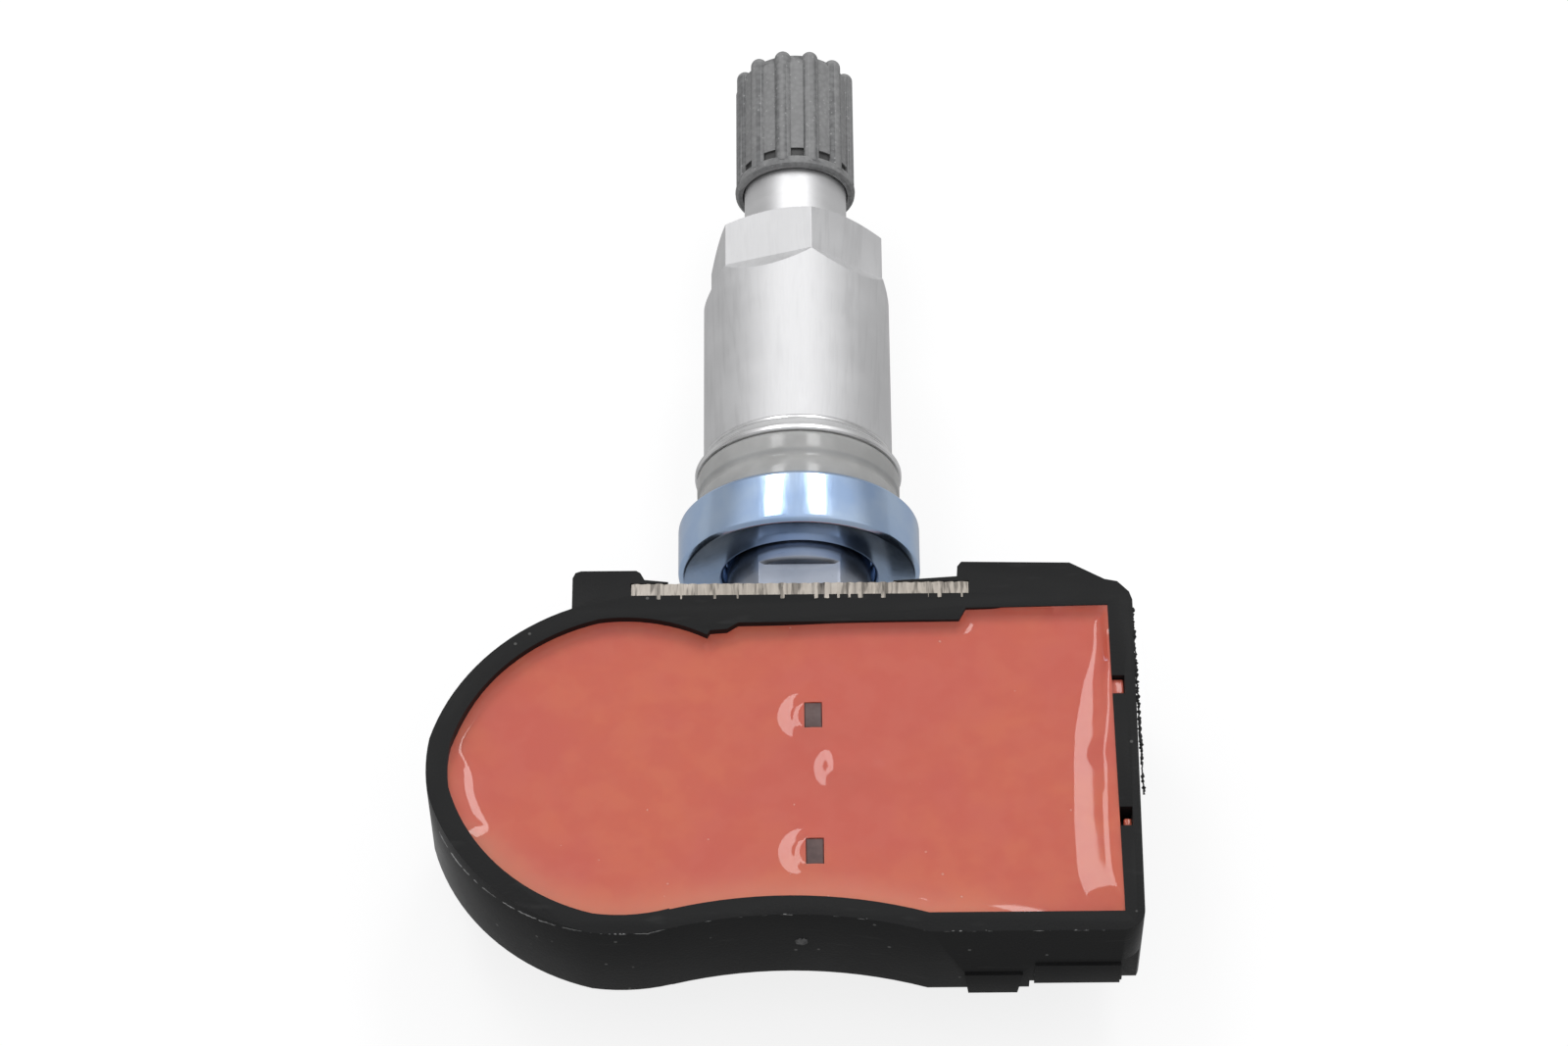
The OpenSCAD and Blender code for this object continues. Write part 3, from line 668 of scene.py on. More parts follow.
class Finishes:
    """Every finish of the sensor, made once."""

    def __init__(self) -> None:
        """Builds all of the materials."""
        self.housing = MouldedPlastic().make()
        self.gel = CastGel().make()
        self.cap = CapPlastic().make()
        self.steel = Metal("bright_steel", grey(0.60), grey(0.7), gloss=(0.18, 0.32)).make()
        # Near-black finish for the floors of the cap's pockets: painted shade.
        self.pocket = Rubbery(
            "cap_pocket_painted_shade", grey(0.05), grey(0.09), gloss=(0.6, 0.8), grain=1600, depth=0.00005
        ).make()
        self.plate = Metal(
            "sheared_steel", (0.27, 0.245, 0.215), (0.42, 0.385, 0.345), gloss=(0.34, 0.55),
            lines=3600, line_depth=0.00003, painted_groove_shade=0.75, stretch=(1, 0.12, 0.12), pits=0.1,
        ).make()
        self.zinc = Metal(
            "blue_zinc", (0.46, 0.63, 0.92), (0.58, 0.73, 0.95), gloss=(0.12, 0.24),
            lines=5200, line_depth=0.000003, stretch=(1, 0.06, 1),
        ).make()
        self.nut = Metal(
            "satin_anodised", (0.75, 0.75, 0.755), (0.80, 0.80, 0.805), gloss=(0.58, 0.7),
            lines=2600, line_depth=0.000006, painted_groove_shade=0.06, stretch=(1, 0.05, 1), pits=0.05,
        ).make()
        self.washer = Metal(
            "turned_bright", grey(0.88), grey(0.96), gloss=(0.2, 0.4),
            lines=4200, line_depth=0.00002, painted_groove_shade=0.25,
        ).make()
        self.neck = Metal(
            "nickel_neck", (0.78, 0.78, 0.785), (0.84, 0.84, 0.845), gloss=(0.44, 0.56), lines=4000
        ).make()
        self.foot = Metal(
            "plated_foot", (0.36, 0.40, 0.48), (0.46, 0.50, 0.58), gloss=(0.24, 0.36),
            lines=6000, line_depth=0.000006, pits=0.06,
        ).make()
        self.grommet = Rubbery(
            "clear_grommet", (0.48, 0.48, 0.47), (0.56, 0.56, 0.55), gloss=(0.12, 0.22),
            grain=900, depth=0.000006, glow=0.35, clear=0.2,
        ).make()
        self.tips = Rubbery(
            "dark_tips", (0.085, 0.048, 0.046), (0.12, 0.07, 0.066), gloss=(0.4, 0.55), grain=2500
        ).make()
        # Pale finish of the rim's burr: painted highlight of the light the edge catches.
        self.burr = Rubbery(
            "burr_painted_highlight", grey(0.05), grey(0.30), gloss=(0.4, 0.6), grain=1400
        ).make()
        self.scar = Rubbery(
            "gate_scar", grey(0.03), grey(0.12), gloss=(0.5, 0.7), grain=4000, depth=0.00008
        ).make()

    def hidden(self) -> dict[str, Finish]:
        """Finishes of the pieces inside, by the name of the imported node."""
        brass = Metal("core_brass", (0.68, 0.50, 0.22), (0.74, 0.57, 0.30), gloss=(0.2, 0.35))
        black = Rubbery("black_rubber", grey(0.02), grey(0.035))
        chip = Rubbery("chip_resin", (0.02, 0.02, 0.022), grey(0.03), gloss=(0.35, 0.5))
        mask = Rubbery(
            "solder_mask", (0.01, 0.12, 0.04), (0.015, 0.16, 0.06), gloss=(0.2, 0.35), grain=1500
        )
        red = Rubbery("red_gasket", (0.5, 0.03, 0.03), (0.58, 0.05, 0.04))
        cell = Metal("cell_steel", (0.62, 0.62, 0.6), (0.7, 0.7, 0.68), gloss=(0.15, 0.3))
        white = Rubbery("white_membrane", (0.78, 0.78, 0.76), (0.84, 0.84, 0.82))
        ferrite = Rubbery("ferrite", (0.05, 0.05, 0.052), (0.08, 0.08, 0.082), gloss=(0.3, 0.5))
        copper = Metal("copper_wire", (0.72, 0.30, 0.14), (0.8, 0.38, 0.2), gloss=(0.2, 0.35))
        gilt = Metal("gilt_strip", (0.80, 0.62, 0.28), (0.86, 0.7, 0.38), gloss=(0.15, 0.3))
        tan = Rubbery("ceramic_tan", (0.42, 0.28, 0.16), (0.5, 0.35, 0.2), gloss=(0.3, 0.45))
        worn_by = {
            brass: ("core_body", "core_pin"),
            black: ("cap_seal", "core_cup", "port_gasket"),
            red: ("core_gasket",),
            mask: ("pcb",),
            cell: ("coin_cell",),
            chip: ("pressure_chip",),
            white: ("port_membrane",),
            ferrite: ("coil_core",),
            copper: ("coil_winding",),
            gilt: ("antenna_strip",),
            tan: ("capacitors",),
        }
        finishes = dict.fromkeys(("battery_tab_plus", "battery_tab_minus", "crystal"), self.steel)
        for recipe, nodes in worn_by.items():
            finishes.update(dict.fromkeys(nodes, recipe.make()))
        return finishes


@dataclass(frozen=True)
class Thread:
    """One thread of the stem, with its ends as places on the valve's axis."""

    name: str
    outer_r: float
    depth: float
    pitch: float
    low: float
    high: float
    web: float = 0.1
    rings_per_turn: int = 7
    flank: float = 2.7

    @property
    def core_r(self) -> float:
        """Radius of the sleeve's inner wall."""
        return self.outer_r - self.depth - self.web

    def room(self, steps: int) -> Piece:
        """Ring to cut from the stem, for the sleeve to lie in."""
        past = self.outer_r + 1
        corners = [(self.core_r, self.low), (past, self.low), (past, self.high)]
        return turned("room", [*corners, (self.core_r, self.high)], steps)

    def sleeve(self, steps: int) -> Piece:
        """Makes the threaded sleeve.

        Args:
            steps: number of steps round the axis.

        Returns:
            The sleeve, upright on the axis.
        """
        run = self.high - self.low
        rings = int(run / self.pitch * self.rings_per_turn)
        wall = [(self.outer_r, self.low + run * k / rings) for k in range(rings + 1)]
        profile = [(self.core_r, self.low), *wall, (self.core_r, self.high)]
        sleeve = turned(self.name, profile, steps)
        for v in sleeve.data.vertices:
            if math.hypot(v.co.x, v.co.y) < self.outer_r - 0.01:
                continue
            turn = (v.co.z / self.pitch - math.atan2(v.co.y, v.co.x) / math.tau) % 1
            groove = min(1.0, max(0.0, self.flank / 2 - self.flank * abs(turn - 0.5)))
            v.co.xy *= 1 - self.depth * groove / self.outer_r
        return sleeve


@dataclass
class Valve:
    """Stem, collar, grommet, washer, nut and cap on the valve's axis."""

    finishes: Finishes
    round_steps: int = 144
    collar_r: float = 8.85
    collar_h: float = 4.3
    collar_edge: float = 0.35
    collar_steps: int = 180
    bore_r: float = 5.06
    counterbore_r: float = 5.6
    counterbore_h: float = 2.0
    counterbore_lead: float = 0.25
    grommet_side: tuple[Point, ...] = (
        (7.78, 0.0), (7.78, 0.25), (7.66, 0.42), (7.62, 1.0), (7.5, 1.65), (7.3, 2.05),
        (7.34, 2.3), (7.48, 2.55), (7.5, 3.75), (7.36, 4.05),
    )
    grommet_top: float = 8.35
    washer_bore: float = 5.08
    washer_foot: tuple[Point, ...] = ((7.55, 0.0), (7.65, 0.1), (7.65, 0.34))
    washer_top: float = 9.85
    cone_rings: int = 7
    cone_r: float = 7.62
    cone_taper: float = 0.57
    cone_low: float = 0.4
    cone_gap: float = 0.15
    ring_size: float = 0.05
    sleeve_r: float = 7.0
    threads: tuple[Thread, ...] = (
        Thread("main_thread", outer_r=5.0, depth=0.52, pitch=1.0, low=8.7, high=21.3),
        Thread("tip_thread", outer_r=3.85, depth=0.38, pitch=0.794, low=34.3, high=42.5),
    )
    thread_steps: int = 72
    neck_from: float = 3.0
    pin_travel: float = 0.95
    ribs: int = 12
    pocket_r: float = 4.0
    pocket_half: float = 0.5
    pocket_turn: float = 32.5
    pocket_z: Point = (34.5, 35.4)

    def build(self) -> None:
        """Builds and dresses the valve's pieces."""
        self.collar()
        self.grommet()
        self.washer()
        self.nut()
        self.stem()
        self.spring()
        self.cap()

    def collar(self) -> None:
        """Steel collar with broken edges and a shallow lead in its counterbore."""
        r, c, b = self.collar_r, self.counterbore_r, self.bore_r
        top, edge, lead = self.collar_h, self.collar_edge, self.counterbore_lead
        seat = self.counterbore_h
        profile = [
            (c + lead, 0), (r - edge, 0), (r, edge), (r, top - edge), (r - edge, top),
            (b, top), (b, seat), (c, seat), (c, lead),
        ]
        piece = turned("collar", eased(profile, radius=0.12), self.collar_steps)
        settle(piece, "collar", Body.VALVE, Slot.ZINC, self.finishes.zinc, node="collar_ring")

    def grommet(self) -> None:
        """Clear rubber grommet: foot lip, flared band, groove and upper band."""
        b, z = self.bore_r, self.collar_h
        side = [(r, z + h) for r, h in self.grommet_side]
        profile = [(b, z), *side, (b, side[-1][1])]
        piece = turned("grommet", eased(profile, radius=0.14), self.round_steps)
        finish = self.finishes.grommet
        settle(piece, "grommet_clear", Body.VALVE, Slot.GROMMET, finish, node="grommet")

    def washer(self) -> None:
        """Conical washer with the rings that turning left on it."""
        b, z, top, size = self.washer_bore, self.grommet_top, self.washer_top, self.ring_size
        cone = []
        for k in range(self.cone_rings):
            t = k / (self.cone_rings - 1)
            radius = self.cone_r - self.cone_taper * t
            height = z + self.cone_low + (top - self.cone_gap - z - self.cone_low) * t
            cone += [(radius, height - size), (radius - size, height)]
        foot = [(r, z + h) for r, h in self.washer_foot]
        profile = [(b, z), *foot, *cone, (self.sleeve_r, top), (b, top)]
        piece = turned("washer", profile, self.round_steps)
        finish = self.finishes.washer
        settle(piece, "washer_cone", Body.WASHER, Slot.WASHER, finish, node="clamp_washer")

    def nut(self) -> None:
        """Sleeve nut with the edges of its hexagon just broken."""
        piece = node_copy("sleeve_nut", Body.NUT)
        bevel(piece, width=0.05, segments=2, angle=12)
        finish = self.finishes.nut
        settle(piece, "nut_sleeve", Body.NUT, Slot.NUT, finish, node="sleeve_nut", smooth=20)
        pick(piece)
        flat = piece.modifiers.new("flat_faces", "WEIGHTED_NORMAL")
        flat.keep_sharp = True
        flat.weight = 100
        bpy.ops.object.modifier_apply(modifier=flat.name)

    def stem(self) -> None:
        """Stem with both threads, a plated foot below the seat and a bright neck above it."""
        piece = node_copy("valve_stem", Body.VALVE)
        bevel(piece, width=0.07, segments=2, angle=25)
        foot, neck = self.finishes.foot, self.finishes.neck
        for thread in self.threads:
            trim(piece, thread.room(self.thread_steps), Keep.OUTSIDE)
            sleeve = thread.sleeve(self.thread_steps)
            settle(sleeve, thread.name, Body.VALVE, Slot.STEM, neck, smooth=35)
        for face in piece.data.polygons:
            face.material_index = int(face.center.z > self.neck_from)
        settle(piece, "stem", Body.VALVE, Slot.STEM, foot, neck, node="valve_stem")

    def spring(self) -> None:
        """Spring of the core, on a mesh of its own; the real spring shortens as the pin goes in.
        """
        piece = node_copy("core_spring", Body.VALVE)
        steel = self.finishes.steel
        settle(piece, "spring_coil", Body.VALVE, Slot.SPRING, steel, node="core_spring", smooth=60)
        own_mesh(piece)

    def cap(self) -> None:
        """Moulded cap with softened ribs and a pocket at the foot of each panel, whose floor has a
        near-black finish as painted shade.
        """
        piece = node_copy("valve_cap", Body.CAP)
        bevel(piece, width=0.1, segments=3, angle=28)
        low, high = self.pocket_z
        inner, outer, half = self.pocket_r, self.pocket_r + 1, self.pocket_half
        for k in range(self.ribs):
            pocket = box((inner, -half, low), (outer, half, high))
            turn = math.radians(self.pocket_turn + 360 * k / self.ribs)
            pocket.data.transform(Matrix.Rotation(turn, 4, "Z"))
            trim(piece, pocket, Keep.OUTSIDE)
        # Faces on the pockets' floors take the second finish, painted shade.
        for face in piece.data.polygons:
            x, y, z = face.center
            floor = inner - 0.08 < math.hypot(x, y) < inner + 0.09
            face.material_index = int(floor and low - 0.02 < z < high + 0.02)
        skin, dark = self.finishes.cap, self.finishes.pocket
        settle(piece, "cap_ribbed", Body.CAP, Slot.CAP, skin, dark, node="valve_cap", smooth=50)


def soft_step(value: np.ndarray, middle: float, width: float) -> np.ndarray:
    """Rises smoothly from 0 to 1 about a middle, or falls where the width is negative.

    Args:
        value: what the step depends on.
        middle: where it is a half.
        width: how slowly it rises.

    Returns:
        A share for each value.
    """
    return 1 / (1 + np.exp(-(value - middle) / width))


@dataclass
class Gel:
    """Potting gel, which climbs the walls and the contact posts.

    It sags in the middle and rises in a slope to the wall of the square end. The
    field reach gives, for places along y, how far from that wall the slope starts.
    climbs and spreads say how high and how far it creeps up the other walls: in the
    rear half, in the near half, at the round end's near wall and at the waist.
    """

    finishes: Finishes
    level: float = 5.9
    sag: float = 0.38
    cell: float = 0.25
    right_wall: float = 21.9
    far_y: float = 1.17
    near_y: float = -23.9
    reach: tuple[Point, ...] = (
        (-23.9, 1.9), (-23.2, 2.3), (-22.4, 2.7), (-21.5, 3.0), (-20.4, 3.2), (-17.0, 3.25),
        (-14.0, 3.15), (-9.2, 2.9), (-5.0, 2.1), (-1.4, 0.7), (1.2, 0.45),
    )
    slope: float = 0.345
    slope_scale: float = 0.95
    slope_bend: float = 0.42
    slope_ends: float = 8.0
    step: float = 0.28
    step_x: float = 0.8
    highest: float = 0.72
    near_half_y: float = -9.0
    near_half_run: float = 3.5
    near_wall_y: float = -17.0
    waist_x: float = -8.5
    far_wall_y: float = -6.5
    corner_x: float = 14.5
    climbs: tuple[float, ...] = (0.3, 0.8, 0.25, 0.6)
    spreads: tuple[float, ...] = (0.15, 1.0, 3.0, 1.2)
    far_climb: Point = (0.35, 0.45)
    far_spread: float = 0.28
    reflection_band_width: float = 1.9
    posts: tuple[Point, ...] = ((0.85, -7.5), (0.85, -18.6))
    post_half: Point = (1.2, 1.6)
    post_climb: float = 0.98
    post_cap: float = 0.4
    post_fall: float = 1.3
    post_tail: float = 4.0
    post_squash: float = 0.95
    swelling: Point = (2.4, -11.7)
    swelling_h: float = 0.31
    swelling_run: Spot = (1.0, 14.0, 2.4)

    def outline(self, piece: Piece) -> np.ndarray:
        """Finds the edge of the gel's top.

        Args:
            piece: the merged copy of the potting.

        Returns:
            Segments of the outer edge as rows x0, y0, x1, y1.
        """
        mesh = piece.data
        use: dict[tuple[int, int], int] = {}
        for face in mesh.polygons:
            if face.normal.z > 0.9 and face.center.z > self.level - 0.05:
                for key in face.edge_keys:
                    use[key] = use.get(key, 0) + 1
        half_x, half_y = self.post_half
        rows = []
        for (a, b), count in use.items():
            p, q = mesh.vertices[a].co, mesh.vertices[b].co
            on_post = any(
                abs(p.x - x) < half_x and abs(p.y - y) < half_y for x, y in self.posts
            )
            if count == 1 and not on_post:
                rows.append((p.x, p.y, q.x, q.y))
        return np.array(rows)

    def wall_gap(self, xy: np.ndarray, edge: np.ndarray) -> np.ndarray:
        """Measures how far points are from the gel's edge.

        Args:
            xy: points of the skin.
            edge: segments of its outer edge.

        Returns:
            One distance for each point.
        """
        start, run = edge[:, :2], edge[:, 2:] - edge[:, :2]
        length = np.maximum((run**2).sum(1), 1e-9)
        gap = np.full(len(xy), 1e9)
        for a, d, n in zip(start, run, length):
            t = np.clip(((xy - a) @ d) / n, 0, 1)[:, None]
            gap = np.minimum(gap, np.hypot(*(xy - a - t * d).T))
        return gap

    def ramp(self, y: np.ndarray, to_right: np.ndarray) -> np.ndarray:
        """Slope towards the square end.

        Args:
            y: places along the wall.
            to_right: distances from it.

        Returns:
            One height for each point.
        """
        steps = np.linspace(self.near_y, self.far_y, 251)
        reach = np.interp(steps, *zip(*self.reach))
        reach = np.convolve(np.pad(reach, 7, "edge"), np.ones(15) / 15, "valid")
        over = (np.interp(y, steps, reach) - to_right) / self.slope_bend
        return self.slope * self.slope_bend * np.log1p(np.exp(np.clip(over, -30, 30)))

    def mounds(self, x: np.ndarray, y: np.ndarray) -> np.ndarray:
        """Gel that climbs the contact posts, and the swelling between them.

        Args:
            x: places along the housing.
            y: places across it.

        Returns:
            One height for each point.
        """
        z = np.zeros(len(x))
        for px, py in self.posts:
            dx, dy = x - px, y - py
            ring = np.hypot(np.minimum(dx, 0), self.post_squash * dy)
            mound = np.minimum(self.post_climb * np.exp(-ring / self.post_fall), self.post_cap)
            z += mound * np.exp(-np.maximum(dx, 0) / self.post_tail)
        dx, dy = x - self.swelling[0], y - self.swelling[1]
        left, right, across = self.swelling_run
        fall = dx**2 / np.where(dx < 0, left, right) + dy**2 / across
        return z + self.swelling_h * np.exp(-fall)

    def heights(self, xy: np.ndarray, edge: np.ndarray) -> tuple[np.ndarray, np.ndarray]:
        """Height of the gel's skin over its cast level, and the share of its painted reflection
        band.

        Args:
            xy: points of the skin.
            edge: segments of its outer edge.

        Returns:
            One height for each point, in millimetres, and one share of the painted reflection
            band.
        """
        wall = self.wall_gap(xy, edge)
        x, y = xy.T
        to_right = np.maximum(self.right_wall - x, 0)
        down = np.clip((self.near_half_y - y) / self.near_half_run, 0, 1)
        down = down * down * (3 - 2 * down)
        low = soft_step(y, self.near_wall_y, -0.5)
        waist = soft_step(x, self.waist_x, 1.5)
        away = soft_step(to_right, self.slope_ends, 1.8)
        climb, spread = (
            rear + down * (near - rear + low * (lobe - near + (hollow - lobe) * waist))
            for rear, near, lobe, hollow in (self.climbs, self.spreads)
        )
        creep = climb * (1 - down * (1 - away)) * np.exp(-wall / spread)
        far, corner = soft_step(y, self.far_wall_y, 0.8), soft_step(x, self.corner_x, 0.3)
        along, more = self.far_climb
        creep += (along + more * corner) * far * np.exp(-wall / self.far_spread)
        z = -self.sag + self.step * soft_step(x, self.step_x, 1.2)
        z = z + self.ramp(y, to_right) * self.slope_scale + creep
        z = np.minimum(z, self.highest) + self.mounds(x, y)
        # Painted reflection band near the walls of the near half, fading with distance from the
        # wall.
        pale = np.exp(-((wall / self.reflection_band_width) ** 2))
        band = np.clip(low + 0.25, 0, 1) * down * pale * away
        return z, band

    def slab(self, edge: np.ndarray) -> Piece:
        """Makes a block with a finely divided top at the gel's level.

        Args:
            edge: segments of the gel's outer edge.

        Returns:
            The block, larger all round than the gel.
        """
        margin, depth = 0.6, 9
        low = edge[:, :2].min(0) - margin
        size = edge[:, :2].max(0) + margin - low
        cells = [int(side / self.cell) for side in size]
        clear_selection()
        bpy.ops.mesh.primitive_grid_add(size=1, x_subdivisions=cells[0], y_subdivisions=cells[1])
        slab = bpy.context.object
        centre = Matrix.Translation((*(low + size / 2), self.level))
        slab.data.transform(centre @ Matrix.Diagonal((*size, 1, 1)))
        in_edit(slab)
        bpy.ops.mesh.region_to_loop()
        bpy.ops.mesh.extrude_region_move(TRANSFORM_OT_translate={"value": (0, 0, -depth)})
        bpy.ops.mesh.edge_face_add()
        bpy.ops.mesh.select_all(action="SELECT")
        bpy.ops.mesh.normals_make_consistent(inside=False)
        out_of_edit()
        return slab

    def build(self) -> None:
        """Builds the gel as one closed piece with a fine skin."""
        gel = node_copy("potting", Body.SENSOR)
        edge = self.outline(gel)
        for v in gel.data.vertices:
            if v.co.z > self.level - 0.05:
                v.co.z += 1.0
        trim(gel, self.slab(edge), Keep.INSIDE)
        mesh = gel.data
        co = np.array([v.co for v in mesh.vertices])
        top = np.abs(co[:, 2] - self.level) < 1e-3
        rise, band = self.heights(co[top, :2], edge)
        co[top, 2] += rise
        # The share of the painted reflection band goes to the gel's finish as an attribute.
        share = np.zeros(len(co))
        share[top] = band
        mesh.vertices.foreach_set("co", co.ravel())
        mesh.attributes.new("painted_reflection_band", "FLOAT", "POINT").data.foreach_set("value", share)
        mesh.update()
        finish = self.finishes.gel
        settle(gel, "gel", Body.SENSOR, Slot.RESIN, finish, node="potting", smooth=40)


@dataclass
class Plate:
    """Sheared steel plate with a toothed edge."""

    finishes: Finishes
    half: float = 12.05
    y0: float = 1.9
    y1: float = 3.27
    z0: float = -5.3
    z1: float = 6.75
    notch: float = 2.4
    notch_top: float = 3.57
    teeth_z: float = 5.85
    pitch: float = 0.8
    flank: float = 2.6
    tooth_depth: float = 0.12
    ragged: float = 0.03
    lean: float = 0.22
    cuts: int = 360
    kinds: int = 64
    seed: int = 7

    def build(self) -> None:
        """Builds the plate and its teeth."""
        plate = box((-self.half, self.y0, self.z0), (self.half, self.y1, self.z1))
        low = (-self.notch, self.y0 - 1, self.z0 - 1)
        trim(plate, box(low, (self.notch, self.y1 + 1, self.notch_top)), Keep.OUTSIDE)
        in_edit(plate)
        bpy.ops.mesh.bisect(plane_co=(0, 0, self.teeth_z), plane_no=(0, 0, 1))
        bpy.ops.mesh.select_mode(type="EDGE")
        bpy.ops.mesh.select_all(action="DESELECT")
        out_of_edit()
        for edge in plate.data.edges:
            a, b = (plate.data.vertices[i].co for i in edge.vertices)
            edge.select = abs(a.x - b.x) > 10 and min(a.z, b.z) > self.notch_top + 1
        bpy.ops.object.mode_set(mode="EDIT")
        bpy.ops.mesh.subdivide(number_cuts=self.cuts)
        bpy.ops.mesh.select_mode(type="VERT")
        out_of_edit()
        self.teeth(plate)
        name, node = "plate_toothed", "serrated_plate"
        settle(plate, name, Body.SENSOR, Slot.PLATE, self.finishes.plate, node=node, smooth=18)

    def teeth(self, plate: Piece) -> None:
        """Lowers the gaps between the teeth and leans them back.

        Args:
            plate: the plate with its upper edges cut fine.
        """
        dice = random.Random(self.seed)
        wobble = [dice.uniform(0.55, 1.25) for _ in range(self.kinds)]
        for v in plate.data.vertices:
            if v.co.z < self.z1 - 0.01:
                continue
            turn = (v.co.x + self.half) / self.pitch
            k, t = int(turn), turn - int(turn)
            tooth = min(1.0, self.flank * min(t, 1 - t)) * wobble[k % self.kinds]
            gap = 1 - min(tooth, 1.0)
            ragged = wobble[(k * 7 + int(t * 5)) % self.kinds]
            v.co.z -= self.tooth_depth * gap + self.ragged * ragged
            if v.co.y < self.y0 + 0.01:
                v.co.y += self.lean * gap


@dataclass
class Housing:
    """Moulded housing with broken edges, flash, a burr on its rim and a gate scar.

    The rim's near edge is an arc round the lobe, whose angles are in degrees, and
    then a hollow waist that runs out into the square end.
    """

    finishes: Finishes
    rim: float = 6.7
    near_y: float = -25.4
    lobe: Point = (-12.5, -11.75)
    lobe_r: float = 13.65
    lobe_from: float = 200.0
    lobe_turn: float = 72.0
    waist_x: float = -1.0
    waist_r: float = 33.0
    waist_depth: float = 1.42
    square_end: float = 23.7
    corner: float = 1.6
    burr_ends: int = 6
    burr_shift: Spot = (0, 0.03, -0.04)
    burr_r: Point = (0.02, 0.05)
    burr_tip: float = 0.012
    flash_points: int = 120
    flash_from: float = 0.9
    flash_run: float = 15.5
    scar_r: float = 0.45
    scar_x: float = -0.1
    scar_z: float = 3.0
    spills: tuple[tuple[str, Spot, Spot], ...] = (
        ("gel_in_slot", (21.5, -6.3, 4.8), (22.75, -4.9, 6.3)),
        ("gel_crumb", (22.2, -16.9, 4.8), (22.75, -16.2, 6.1)),
    )

    def build(self) -> None:
        """Builds the housing and the marks on it."""
        shell = node_copy("housing", Body.SENSOR)
        bevel(shell, width=0.16, segments=3, angle=35)
        finish = self.finishes.housing
        settle(shell, "shell", Body.SENSOR, Slot.HOUSING, finish, node="housing", smooth=40)
        self.burr()
        self.flash()
        self.gate_scar()
        self.spill()
        Gel(self.finishes).build()
        Plate(self.finishes).build()
        self.tips()

    def near_edge(self) -> list[Vector]:
        """Points along the rim's outer edge, from the round end to the square end."""
        out = []
        cx, cy = self.lobe
        hollow_y = self.near_y + self.waist_depth - self.waist_r
        for k in range(121):
            a = math.radians(self.lobe_from + self.lobe_turn * k / 120)
            x, y = cx + self.lobe_r * math.cos(a), cy + self.lobe_r * math.sin(a)
            out.append(Vector((x, y, self.rim)))
        start = out[-1].x
        for k in range(141):
            x = start + (self.square_end - self.corner - start) * k / 140
            dx = x - self.waist_x
            hollow = hollow_y + math.sqrt(max(self.waist_r**2 - dx**2, 0))
            out.append(Vector((x, max(self.near_y, hollow), self.rim)))
        return out

    def strand(self, name: str, points: list[Vector], radii: list[float]) -> Piece:
        """Makes a thin uneven strand along points.

        Args:
            name: name of the strand.
            points: its centreline.
            radii: its radius at each point.

        Returns:
            The strand as a mesh.
        """
        curve = bpy.data.curves.new(name, "CURVE")
        curve.dimensions = "3D"
        curve.bevel_depth = 1.0
        curve.bevel_resolution = 1
        curve.use_fill_caps = True
        line = curve.splines.new("POLY")
        line.points.add(len(points) - 1)
        for spot, p, r in zip(line.points, points, radii):
            spot.co = (*p, 1)
            spot.radius = r
        strand = bpy.data.objects.new(name, curve)
        bpy.context.scene.collection.objects.link(strand)
        pick(strand)
        bpy.ops.object.convert(target="MESH")
        return bpy.context.object

    def burr(self) -> None:
        """Broken burr along the rim's near edge, pale in colour as a painted highlight of the
        light it catches.
        """
        dice = random.Random(11)
        path, tip = self.near_edge(), self.burr_tip
        lift = Vector(self.burr_shift)
        pieces = []
        i = self.burr_ends
        while i < len(path) - self.burr_ends:
            run = dice.randint(3, 11)
            part = path[i : i + run + 1]
            if len(part) > 2:
                points = [
                    p + lift + Vector((0, dice.uniform(-0.02, 0.02), dice.uniform(-0.02, 0.01)))
                    for p in part
                ]
                radii = [tip, *(dice.uniform(*self.burr_r) for _ in part[1:-1]), tip]
                pieces.append(self.strand("burr", points, radii))
            i += run + dice.randint(1, 4)
        clear_selection()
        for piece in pieces:
            piece.select_set(True)
        bpy.context.view_layer.objects.active = pieces[0]
        bpy.ops.object.join()
        settle(pieces[0], "rim_burr", Body.SENSOR, Slot.HOUSING, self.finishes.burr)

    def flash(self) -> None:
        """Ragged flash on the outer edge of the square end."""
        dice = random.Random(5)
        x, z = self.square_end - 0.03, self.rim - 0.12
        points, radii = [], []
        for k in range(self.flash_points):
            y = self.flash_from - self.flash_run * k / (self.flash_points - 1)
            points.append(Vector((x + dice.uniform(-0.05, 0.04), y, z)))
            radii.append(0.05 + 0.13 * dice.random() ** 2)
        flash = self.strand("flash", points, radii)
        settle(flash, "end_flash", Body.SENSOR, Slot.HOUSING, self.finishes.housing)

    def gate_scar(self) -> None:
        """Torn gate mark in the middle of the near wall."""
        clear_selection()
        bpy.ops.mesh.primitive_uv_sphere_add(segments=24, ring_count=12, radius=self.scar_r)
        scar = bpy.context.object
        dice, rough, flat = random.Random(3), 0.16, 0.35
        for v in scar.data.vertices:
            v.co *= 1 + dice.uniform(-rough, rough)
            v.co.y *= flat
        y = self.near_y + self.waist_depth + 0.02
        scar.data.transform(Matrix.Translation((self.scar_x, y, self.scar_z)))
        settle(scar, "gate_mark", Body.SENSOR, Slot.HOUSING, self.finishes.scar)

    def spill(self) -> None:
        """Gel that ran into the end wall's first slot, and a crumb of it in the second."""
        for name, low, high in self.spills:
            fill = box(low, high)
            bevel(fill, width=0.16, segments=3, angle=30)
            settle(fill, name, Body.SENSOR, Slot.RESIN, self.finishes.gel)

